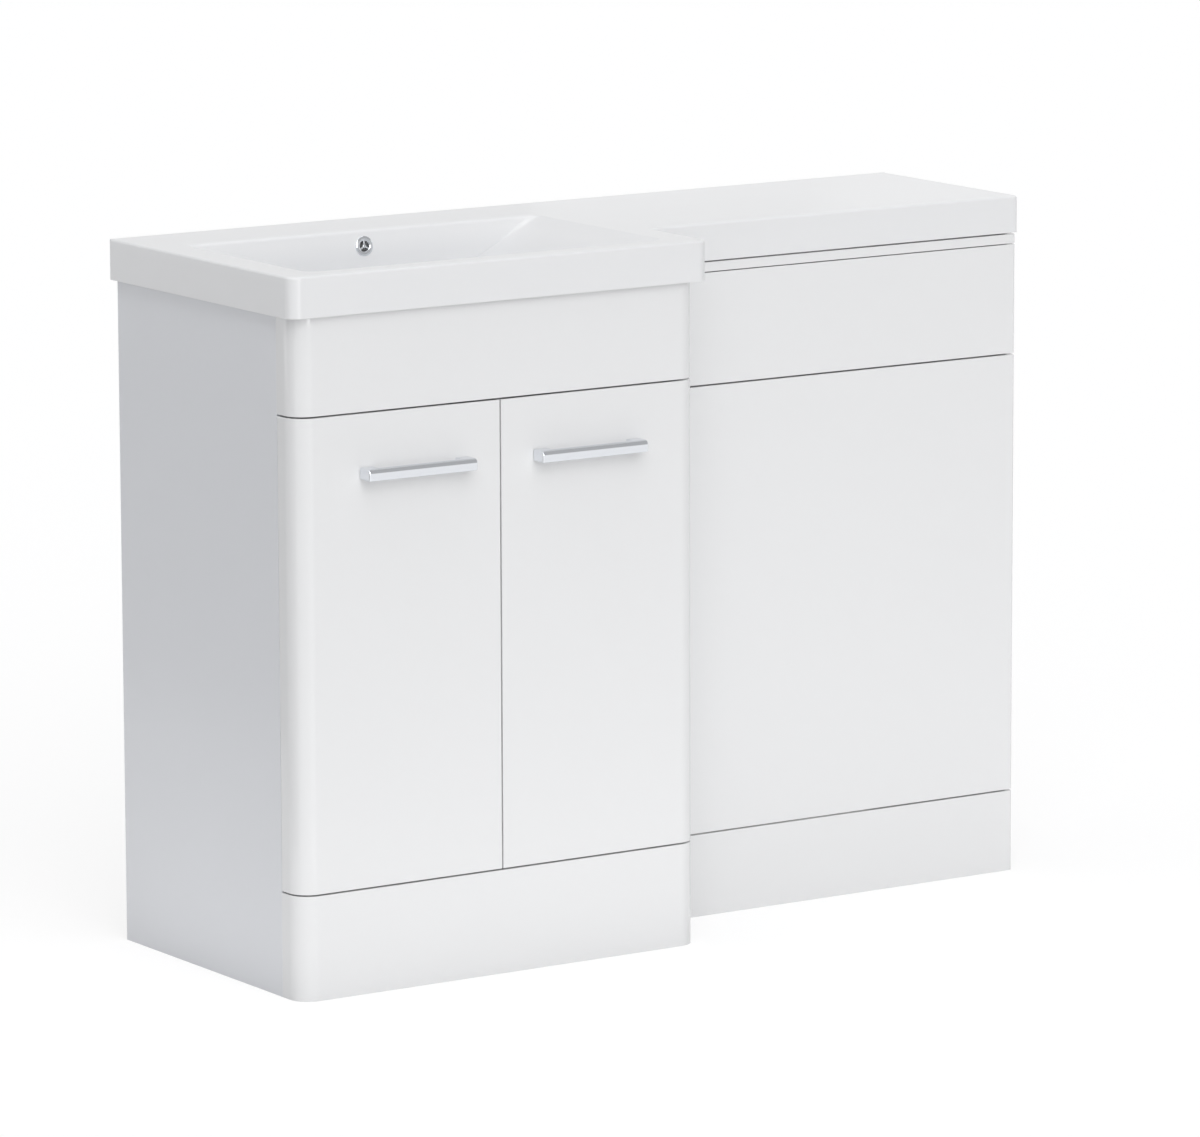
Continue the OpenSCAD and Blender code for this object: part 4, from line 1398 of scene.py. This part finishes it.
@dataclass
class BasinFronts:
    """Fascia, plinth and doors, which wrap around the cabinet's front corners."""

    palette: Palette
    front_t: float = 18 * MM
    stile_w: float = 42 * MM
    corner_r: float = 25 * MM
    corner_steps: int = 12
    upper_r: float = 1.0 * MM
    lower_r: float = 0.2 * MM
    edge_r: float = 0.3 * MM
    joint_r: float = 0.2 * MM
    inner_r: float = 1.5 * MM
    cup_play: float = 0.05 * MM

    def board(self, name: str, box: Extent, corners: Sequence[Corner]) -> bpy.types.Object:
        """Makes a front that fills the height of its node's box, from its plan's corners."""
        plan = rounded_outline(corners, self.upper_r, self.lower_r, self.corner_steps)
        return rolled_prism(name, plan, box.low.z, box.high.z)

    def full_plan(self, box: Extent) -> list[Corner]:
        """Lists the corners of a front that returns along both sides.

        Args:
            box: Box of its node.

        Returns:
            The corners of its plan.
        """
        low, high = box.low, box.high
        inner = low.y + self.front_t
        return [
            Corner(low.x, low.y, self.corner_r),
            Corner(high.x, low.y, self.corner_r),
            Corner(high.x, high.y, self.joint_r),
            Corner(high.x - self.stile_w, high.y, self.edge_r),
            Corner(high.x - self.stile_w, inner, self.inner_r),
            Corner(low.x + self.stile_w, inner, self.inner_r),
            Corner(low.x + self.stile_w, high.y, self.edge_r),
            Corner(low.x, high.y, self.joint_r),
        ]

    def door_plan(self, box: Extent, hand: Hand) -> list[Corner]:
        """Lists the corners of a door with its return on the outer side.

        Args:
            box: Box of its node.
            hand: Side of the cabinet.

        Returns:
            The corners of its plan.
        """
        outer, split = (box.low.x, box.high.x)[::hand.value]
        inner = box.low.y + self.front_t
        stile = outer + hand.value * self.stile_w
        return [
            Corner(outer, box.low.y, self.corner_r),
            Corner(split, box.low.y, self.edge_r),
            Corner(split, inner, self.edge_r),
            Corner(stile, inner, self.inner_r),
            Corner(stile, box.high.y, self.edge_r),
            Corner(outer, box.high.y, self.edge_r),
        ][::hand.value]

    def door_bores(self, hand: Hand) -> list[bpy.types.Object]:
        """Makes the bores of a door's hinge cups and handle screws.

        Args:
            hand: Side of the cabinet.

        Returns:
            The solids to cut away.
        """
        cups = Extent.of(f"hinge_cups_{hand.side}")
        screws = Extent.of(f"handle_screws_{hand.side}")
        cup_r, head_r = cups.size.x / 2, screws.size.z / 2
        bores = []
        for z in (cups.low.z + cup_r, cups.high.z - cup_r):
            start = Vector((cups.middle.x, cups.low.y, z))
            end = start + Vector((0, cup_r, 0))
            bores.append(drill("bore", cup_r + self.cup_play, start, end))
        for x in (screws.low.x + head_r, screws.high.x - head_r):
            start = Vector((x, screws.low.y, screws.middle.z))
            end = Vector((x, screws.high.y + self.front_t, screws.middle.z))
            bores.append(drill("bore", head_r / 2, start, end))
        return bores

    def build(self) -> None:
        """Builds the fascia, the plinth and both doors."""
        for node in ("basin_fascia", "basin_plinth"):
            box = Extent.of(node)
            front = self.board(f"{node}_front", box, self.full_plan(box))
            self.palette.place(front, Body.CARCASS, Slot.FRONT, node)
        for hand in Hand:
            node = f"door_{hand.side}"
            box = Extent.of(node)
            door = self.board(f"door_leaf_{hand.side}", box, self.door_plan(box, hand))
            combine(door, Combine.CUT, self.door_bores(hand))
            self.palette.place(door, hand.door, Slot.FRONT, node)


@dataclass
class HousingFronts:
    """Flat fronts of the toilet housing: lipping, service panel, lower panel and plinth."""

    palette: Palette
    outer_r: float = 5 * MM
    edge_r: float = 0.6 * MM
    lower_r: float = 0.2 * MM
    panel_r: float = 1.0 * MM
    lipping_r: float = 0.4 * MM

    def build(self) -> None:
        """Builds the four fronts."""
        for node, body, upper_r in (
            ("wc_lipping", Body.CARCASS, self.lipping_r),
            ("wc_service_panel", Body.SERVICE_PANEL, self.panel_r),
            ("wc_lower_panel", Body.CARCASS, self.panel_r),
            ("wc_plinth", Body.CARCASS, self.panel_r),
        ):
            box = Extent.of(node)
            edge = self.edge_r
            corners = rectangle(box.low, box.high, edge, self.outer_r, edge, edge)
            plan = rounded_outline(corners, upper_r, self.lower_r)
            panel = rolled_prism(f"{node}_front", plan, box.low.z, box.high.z)
            self.palette.place(panel, body, Slot.FRONT, node)


@dataclass
class Handle:
    """Chrome bar handle on two posts, with a round crown along its upper front edge."""

    palette: Palette
    hand: Hand
    post_w: float = 18 * MM
    bar_t: float = 9 * MM
    crown_r: float = 6 * MM
    edge_r: float = 1.8 * MM
    overlap: float = 5 * MM
    section_steps: int = 12
    roll_steps: int = 6

    YZ_ALONG_X = Matrix(((0, 0, 1, 0), (1, 0, 0, 0), (0, 1, 0, 0), (0, 0, 0, 1)))

    def stretch(
        self, name: str, low: Vector, high: Vector, x_span: tuple[float, float], roll: float
    ) -> bpy.types.Object:
        """Stretches the handle's section along X.

        Args:
            name: Name of the object.
            low: Lowest Y and Z of the section.
            high: Highest Y and Z of the section.
            x_span: Left and right end.
            roll: Radius of the edges around both ends.

        Returns:
            The stretched solid.
        """
        edge = self.edge_r
        corners = rectangle(low, high, edge, edge, edge, self.crown_r)
        section = rounded_outline(corners, roll, roll, self.section_steps)
        bar = rolled_prism(name, section, *x_span, self.roll_steps)
        bar.data.transform(self.YZ_ALONG_X)
        return bar

    def build(self) -> None:
        """Builds the handle on its door."""
        name, node = f"handle_bar_{self.hand.side}", f"handle_{self.hand.side}"
        box = Extent.of(node)
        left, right = box.low.x, box.high.x
        low, high = box.low.yz, box.high.yz
        front = Vector((low.x + self.bar_t, high.y))
        inner = self.post_w - self.overlap
        handle = self.stretch(name, low, high, (left, left + self.post_w), self.edge_r)
        post = self.stretch("post", low, high, (right - self.post_w, right), self.edge_r)
        bar = self.stretch("bar", low, front, (left + inner, right - inner), 0)
        combine(handle, Combine.JOIN, [post, bar])
        self.palette.place(handle, self.hand.door, Slot.CHROME, node)


@dataclass
class BowlFittings:
    """Chrome overflow ring in the bowl's back wall and the plug of the waste."""

    palette: Palette
    bowl: Bowl
    ring_r: float = 12 * MM
    ring_t: float = 2 * MM
    ring_edge_t: float = 0.5 * MM
    ring_steps: int = 72
    crown_steps: int = 14
    bore_r: float = 6.3 * MM
    sleeve_len: float = 7 * MM
    sleeve_r: float = 8.9 * MM
    sleeve_t: float = 1 * MM
    web_t: float = 0.5 * MM
    spokes: int = 3
    spoke_w: float = 2.1 * MM
    spoke_t: float = 1.3 * MM
    spoke_r: float = 0.5 * MM
    spoke_steps: int = 4
    hub_r: float = 2.3 * MM
    hub_top: float = 1.6 * MM
    hub_dome: float = 0.6 * MM
    hub_steps: int = 32
    hub_dome_steps: int = 6
    plug_t: float = 5 * MM
    plug_edge_r: float = 1 * MM
    plug_dome: float = 2 * MM
    plug_dome_share: float = 0.92
    plug_dome_steps: int = 12
    plug_shoulder: tuple[tuple[float, float], ...] = ((0.3, -0.25), (1.0, 0.1))
    plug_steps: int = 96
    stem_r: float = 4 * MM

    def overflow_place(self) -> Matrix:
        """Finds the ring's place on the back wall, with its Z axis out of the wall.

        Returns:
            The place.
        """
        box, lean = Extent.of("overflow_ring"), self.bowl.lean
        z = box.high.z - self.ring_r * math.cos(lean) - self.ring_t * math.sin(lean)
        centre = self.bowl.on_back_wall(box.middle.x, z)
        return Matrix.Translation(centre) @ Matrix.Rotation(QUARTER_TURN - lean, 4, "X")

    def hub(self, place: Matrix) -> bpy.types.Object:
        """Makes the domed hub of the ring's insert.

        Args:
            place: Place of the ring.

        Returns:
            The solid.
        """
        low = -self.web_t / 2
        dome = [
            (self.hub_r * math.sin(turn), self.hub_top - self.hub_dome * (1 - math.cos(turn)))
            for turn in reversed(equal_steps(QUARTER_TURN, self.hub_dome_steps))
        ]
        return lathe("hub", [(0, low), (self.hub_r, low), *dome], place, self.hub_steps)

    def arms(self, place: Matrix) -> list[bpy.types.Object]:
        """Makes the spokes of the ring's insert.

        Args:
            place: Place of the ring.

        Returns:
            The solids.
        """
        low = Vector((self.hub_r / 2, -self.spoke_w / 2))
        high = Vector((self.bore_r + self.web_t, self.spoke_w / 2))
        corners = rectangle(low, high, self.spoke_r)
        plan = rounded_outline(corners, self.spoke_r, 0, self.spoke_steps)
        arms = []
        for turn in equal_steps(2 * HALF_TURN, self.spokes)[:-1]:
            arm = rolled_prism("arm", plan, 0, self.spoke_t)
            arm.data.transform(place @ Matrix.Rotation(QUARTER_TURN + turn, 4, "Z"))
            arms.append(arm)
        return arms

    def overflow_ring(self) -> None:
        """Builds the ring with its hub and spokes."""
        place = self.overflow_place()
        middle_r = (self.ring_r + self.bore_r) / 2
        crown = [
            (middle_r + (self.ring_r - middle_r) * math.cos(turn),
             self.ring_edge_t + (self.ring_t - self.ring_edge_t) * math.sin(turn))
            for turn in equal_steps(HALF_TURN, self.crown_steps)
        ]
        sleeve_bore_r = self.sleeve_r - self.sleeve_t
        profile = [
            (self.sleeve_r, -self.sleeve_len), (self.sleeve_r, 0), (self.ring_r, 0), *crown,
            (self.bore_r, -self.web_t), (sleeve_bore_r, -self.web_t),
            (sleeve_bore_r, -self.sleeve_len),
        ]
        ring = lathe("overflow_trim", profile, place, self.ring_steps)
        combine(ring, Combine.JOIN, [*self.arms(place), self.hub(place)])
        self.palette.place(ring, Body.CARCASS, Slot.CHROME, "overflow_ring")

    def plug(self) -> None:
        """Builds the domed plug on its stem."""
        box = Extent.of("waste_plug")
        r, edge = box.size.x / 2, self.plug_edge_r
        cap_low = box.high.z - self.plug_t
        stem_low = box.low.z - cap_low
        rim_z = self.plug_t - self.plug_dome
        shoulder = [(r - over * edge, rim_z + up * edge) for over, up in self.plug_shoulder]
        dome = [
            (r * share, self.plug_t - self.plug_dome * share ** 2)
            for share in (
                self.plug_dome_share * (1 - step) for step in equal_steps(1, self.plug_dome_steps)
            )
        ]
        profile = [
            (0, stem_low), (self.stem_r, stem_low), (self.stem_r, 0), (r - edge, 0), (r, edge),
            (r, rim_z - edge), *shoulder, *dome,
        ]
        place = Matrix.Translation(Vector((box.middle.x, box.middle.y, cap_low)))
        cap = lathe("plug_cap", profile, place, self.plug_steps)
        self.palette.place(cap, Body.PLUG, Slot.CHROME, "waste_plug")


@dataclass
class Carcass:
    """Outer gables with eased edges, and the finishes of everything that stays as it is."""

    palette: Palette
    edge_r: float = 0.5 * MM
    corner_steps: int = 4
    roll_steps: int = 3

    OUTER = ("basin_gable_left", "wc_gable_right")
    RAILS = (
        "basin_back_rail_upper", "basin_back_rail_lower", "wc_back_rail_upper",
        "wc_back_rail_lower", "wc_top_rail", "wc_middle_rail",
    )

    def build(self) -> None:
        """Builds the outer gables and dresses the remaining nodes."""
        for node in self.OUTER:
            box = Extent.of(node)
            corners = rectangle(box.low, box.high, self.edge_r)
            plan = rounded_outline(corners, self.edge_r, self.edge_r, self.corner_steps)
            board = rolled_prism(f"{node}_board", plan, box.low.z, box.high.z, self.roll_steps)
            self.palette.place(board, Body.CARCASS, Slot.GABLE, node)
        slots = {part["node"]: Slot(part["material_slot"]) for part in frame["record"]["subparts"]}
        for node, piece in frame["nodes"].items():
            if not piece.hide_render:
                is_rail = node in self.RAILS
                look = self.palette.rail_look if is_rail else self.palette.looks[slots[node]]
                self.palette.dress(node, piece, look)


# Studio


@dataclass(frozen=True)
class SoftLamp:
    """A distant soft lamp: where it shines from, its strength and its angle in degrees."""

    name: str
    source: Triple
    strength: float
    angle: float


@dataclass(frozen=True)
class Bounce:
    """Light that comes back up from the floor beside the object."""

    name: str
    low: tuple[float, float]
    high: tuple[float, float]
    radiance: float


@dataclass(frozen=True)
class Card:
    """A card that glows for reflections alone and lights nothing, painting highlights and darker
    bands onto glossy surfaces: a corner, its two edges and its tone.
    """

    name: str
    corner: Triple
    across: Triple
    along: Triple
    tone: float


@dataclass
class Studio:
    """Camera, white surroundings, soft lamps, floor and cards that paint reflections."""

    position: Triple = (-4.86875, -7.36790, 1.98905)
    azimuth: float = -0.583
    elevation: float = 0.1754
    roll: float = -0.0033
    lens: float = 225.15
    sensor: float = 36.0
    sight: float = 200.0
    white: Triple = (1.0, 1.0, 1.0)
    ambient: float = 0.24
    ambient_color: Triple = (0.985, 1.0, 1.04)
    lamps: tuple[SoftLamp, ...] = (
        SoftLamp("front_lamp", (-0.25, -0.829, 0.5), 1.76, 60.0),
        SoftLamp("top_lamp", (-0.1, 0.05, 1.0), 1.13, 70.0),
    )
    bounces: tuple[Bounce, ...] = (
        Bounce("bounce_front", (-0.75, -0.86), (0.75, -0.26), 0.30),
        Bounce("bounce_left", (-0.86, -0.25), (-0.60, 0.25), 0.38),
        Bounce("bounce_right", (0.60, -0.25), (0.86, 0.25), 0.30),
    )
    bounce_z: float = 3 * MM
    floor_size: float = 120.0
    floor_color: Triple = (0.72, 0.72, 0.72)
    floor_show: float = 0.6
    floor_light: float = 1.244
    # Glowing cards seen only in reflections: the dim ones paint darker bands, the bright ones
    # painted highlights, onto the chrome and the gloss.
    cards: tuple[Card, ...] = (
        Card("card_front", (-1.0, -6.5, 2.6), (6.0, 0.0, 0.0), (0.0, 6.22, 0.0), 0.5),
        Card("card_middle", (0.6, -0.28, 2.6), (4.4, 0.0, 0.0), (0.0, 1.4, 0.0), 0.5),
        Card("card_right", (0.9, -2.7, 1.1), (2.5, 0.0, 0.0), (0.0, 0.0, 1.5), 0.5),
        Card("card_above", (-1.0, -0.28, 2.6), (1.6, 0.0, 0.0), (0.0, 2.1, 0.0), 1.8),
        Card("card_back", (0.6, 1.12, 2.6), (4.4, 0.0, 0.0), (0.0, 1.2, 0.0), 2.0),
        Card("card_corner", (-1.3, -0.43, 0.01), (0.0, 0.67, 0.0), (0.0, 0.0, 1.2), 0.35),
        Card("card_left", (-1.3, 0.24, 0.01), (0.0, 2.2, 0.0), (0.0, 0.0, 0.56), 0.7),
        Card("card_left_high", (-1.3, 0.24, 0.57), (0.0, 2.2, 0.0), (0.0, 0.0, 0.66), 1.4),
        Card("card_behind", (-0.8, 0.7, 0.8), (1.15, 0.0, 0.0), (0.0, 0.0, 0.8), 0.9),
        Card("card_behind_upper", (0.35, 0.69, 1.0), (0.45, 0.0, 0.0), (0.0, 0.0, 0.6), 0.85),
        Card("card_behind_right", (0.35, 0.7, 0.8), (1.2, 0.0, 0.0), (0.0, 0.0, 0.8), 1.1),
        Card("card_strip", (-0.62, -0.78, 0.01), (0.31, 0.05, 0.0), (0.0, 0.0, 0.67), 1.3),
        Card("card_strip_high", (-0.60, -0.78, 0.7), (0.2, 0.03, 0.0), (0.0, 0.0, 0.5), 4.0),
    )

    def camera(self) -> None:
        """Sets up the camera at the photograph's viewing angle."""
        lens = bpy.data.cameras.new("camera")
        lens.lens = self.lens
        lens.sensor_width = self.sensor
        lens.clip_end = self.sight
        camera = put_in_scene("camera", lens)
        flat = math.cos(self.elevation)
        right = Vector((math.cos(self.azimuth), math.sin(self.azimuth), 0))
        back = Vector((
            math.sin(self.azimuth) * flat, -math.cos(self.azimuth) * flat,
            math.sin(self.elevation),
        ))
        up = back.cross(right)
        cosine, sine = math.cos(self.roll), math.sin(self.roll)
        columns = (right * cosine + up * sine, up * cosine - right * sine, back)
        turn = Matrix(columns).transposed().to_4x4()
        camera.matrix_world = Matrix.Translation(Vector(self.position)) @ turn
        bpy.context.scene.camera = camera

    @staticmethod
    def seen_directly(wiring: Wiring) -> bpy.types.NodeSocket:
        """Wires a share that tells rays which show the object from rays of plain light.

        Args:
            wiring: Wiring of the tree.

        Returns:
            1 for camera, glossy and transmitted rays, and 0 for the others.
        """
        path = wiring.put("ShaderNodeLightPath").outputs
        both = wiring.math("MAXIMUM", path["Is Camera Ray"], path["Is Glossy Ray"])
        return wiring.math("MAXIMUM", both, path["Is Transmission Ray"])

    @staticmethod
    def close(
        wiring: Wiring, output: str, share: object, plain: bpy.types.Node, shown: bpy.types.Node
    ) -> None:
        """Ends a tree in an output node, with two shaders mixed by the second one's share."""
        shaders = {0: share, 1: plain.outputs[0], 2: shown.outputs[0]}
        wiring.put(output, {0: wiring.put("ShaderNodeMixShader", shaders).outputs[0]})

    @staticmethod
    def hide(item: bpy.types.Object, *rays: str) -> None:
        """Hides an object from kinds of rays, such as camera or glossy."""
        for ray in rays:
            setattr(item, f"visible_{ray}", False)

    @staticmethod
    def sheet(
        name: str, corners: Iterable[Sequence[float]]
    ) -> tuple[bpy.types.Object, Wiring]:
        """Makes a flat sheet with a material of its own.

        Args:
            name: Name of the object and the material.
            corners: The sheet's corners in order.

        Returns:
            The sheet, and the wiring of its still empty material.
        """
        shape = bmesh.new()
        shape.faces.new([shape.verts.new(corner) for corner in corners])
        sheet = new_piece(name, shape)
        look = bpy.data.materials.new(name)
        sheet.data.materials.append(look)
        return sheet, Wiring(cleared_tree(look))

    def surroundings(self) -> None:
        """Makes the world white to look at and plain as a light."""
        world = bpy.data.worlds.new("surroundings")
        bpy.context.scene.world = world
        wiring = Wiring(cleared_tree(world))
        light, white = (
            wiring.put("ShaderNodeBackground", {0: opaque(color), 1: strength})
            for color, strength in ((self.ambient_color, self.ambient), (self.white, 1.0))
        )
        self.close(wiring, "ShaderNodeOutputWorld", self.seen_directly(wiring), light, white)

    def soft_lamps(self) -> None:
        """Makes the soft lamps in front and above."""
        for each in self.lamps:
            lamp = bpy.data.lights.new(each.name, "SUN")
            lamp.energy = each.strength
            lamp.angle = math.radians(each.angle)
            holder = put_in_scene(each.name, lamp)
            holder.rotation_euler = Vector(each.source).to_track_quat("Z", "Y").to_euler()

    def bounce_lamps(self) -> None:
        """Makes the light that the floor sends back up around the object."""
        for each in self.bounces:
            low, high = Vector(each.low), Vector(each.high)
            lamp = bpy.data.lights.new(each.name, "AREA")
            lamp.shape = "RECTANGLE"
            lamp.size, lamp.size_y = high - low
            lamp.energy = each.radiance * HALF_TURN * lamp.size * lamp.size_y
            holder = put_in_scene(each.name, lamp)
            holder.location = (*((low + high) / 2), self.bounce_z)
            holder.rotation_euler = (HALF_TURN, 0, 0)
            self.hide(holder, "camera", "glossy")

    def floor(self) -> None:
        """Makes the pale floor, which shows white apart from the object's soft shadow."""
        half = self.floor_size / 2
        corners = ((-half, -half, 0), (half, -half, 0), (half, half, 0), (-half, half, 0))
        floor, wiring = self.sheet("floor", corners)
        matt = wiring.put("ShaderNodeBsdfDiffuse", {0: opaque(self.floor_color)})
        glow = wiring.put("ShaderNodeEmission", {0: opaque(self.white), 1: self.floor_light})
        share = wiring.math("MULTIPLY", self.seen_directly(wiring), self.floor_show)
        self.close(wiring, "ShaderNodeOutputMaterial", share, matt, glow)

    def hang_cards(self) -> None:
        """Hangs the cards, each a glow seen in reflections alone, which paints highlights and
        darker bands.
        """
        for each in self.cards:
            corner, across, along = (Vector(v) for v in (each.corner, each.across, each.along))
            corners = (corner, corner + across, corner + across + along, corner + along)
            card, wiring = self.sheet(each.name, corners)
            glow = wiring.put("ShaderNodeEmission", {0: opaque(self.white), 1: each.tone})
            wiring.put("ShaderNodeOutputMaterial", {0: glow.outputs[0]})
            self.hide(card, "camera", "diffuse", "transmission", "shadow")

    def build(self) -> None:
        """Sets up the whole studio."""
        bpy.context.scene.view_settings.view_transform = "Standard"
        self.camera()
        self.surroundings()
        self.soft_lamps()
        self.bounce_lamps()
        self.floor()
        self.hang_cards()


def main() -> None:
    """Builds the studio and every sub-assembly in order."""
    logging.basicConfig(level=logging.INFO, format="%(name)s: %(message)s")
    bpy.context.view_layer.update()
    Studio().build()
    bowl = Bowl()
    # The cast top's material paints shade into the bowl's box.
    palette = Palette(Effects(), bowl.painted_shade_box())
    CastTop(palette, bowl).build()
    BasinFronts(palette).build()
    HousingFronts(palette).build()
    for hand in Hand:
        Handle(palette, hand).build()
    fittings = BowlFittings(palette, bowl)
    fittings.overflow_ring()
    fittings.plug()
    Carcass(palette).build()


if __name__ == "__main__":
    main()
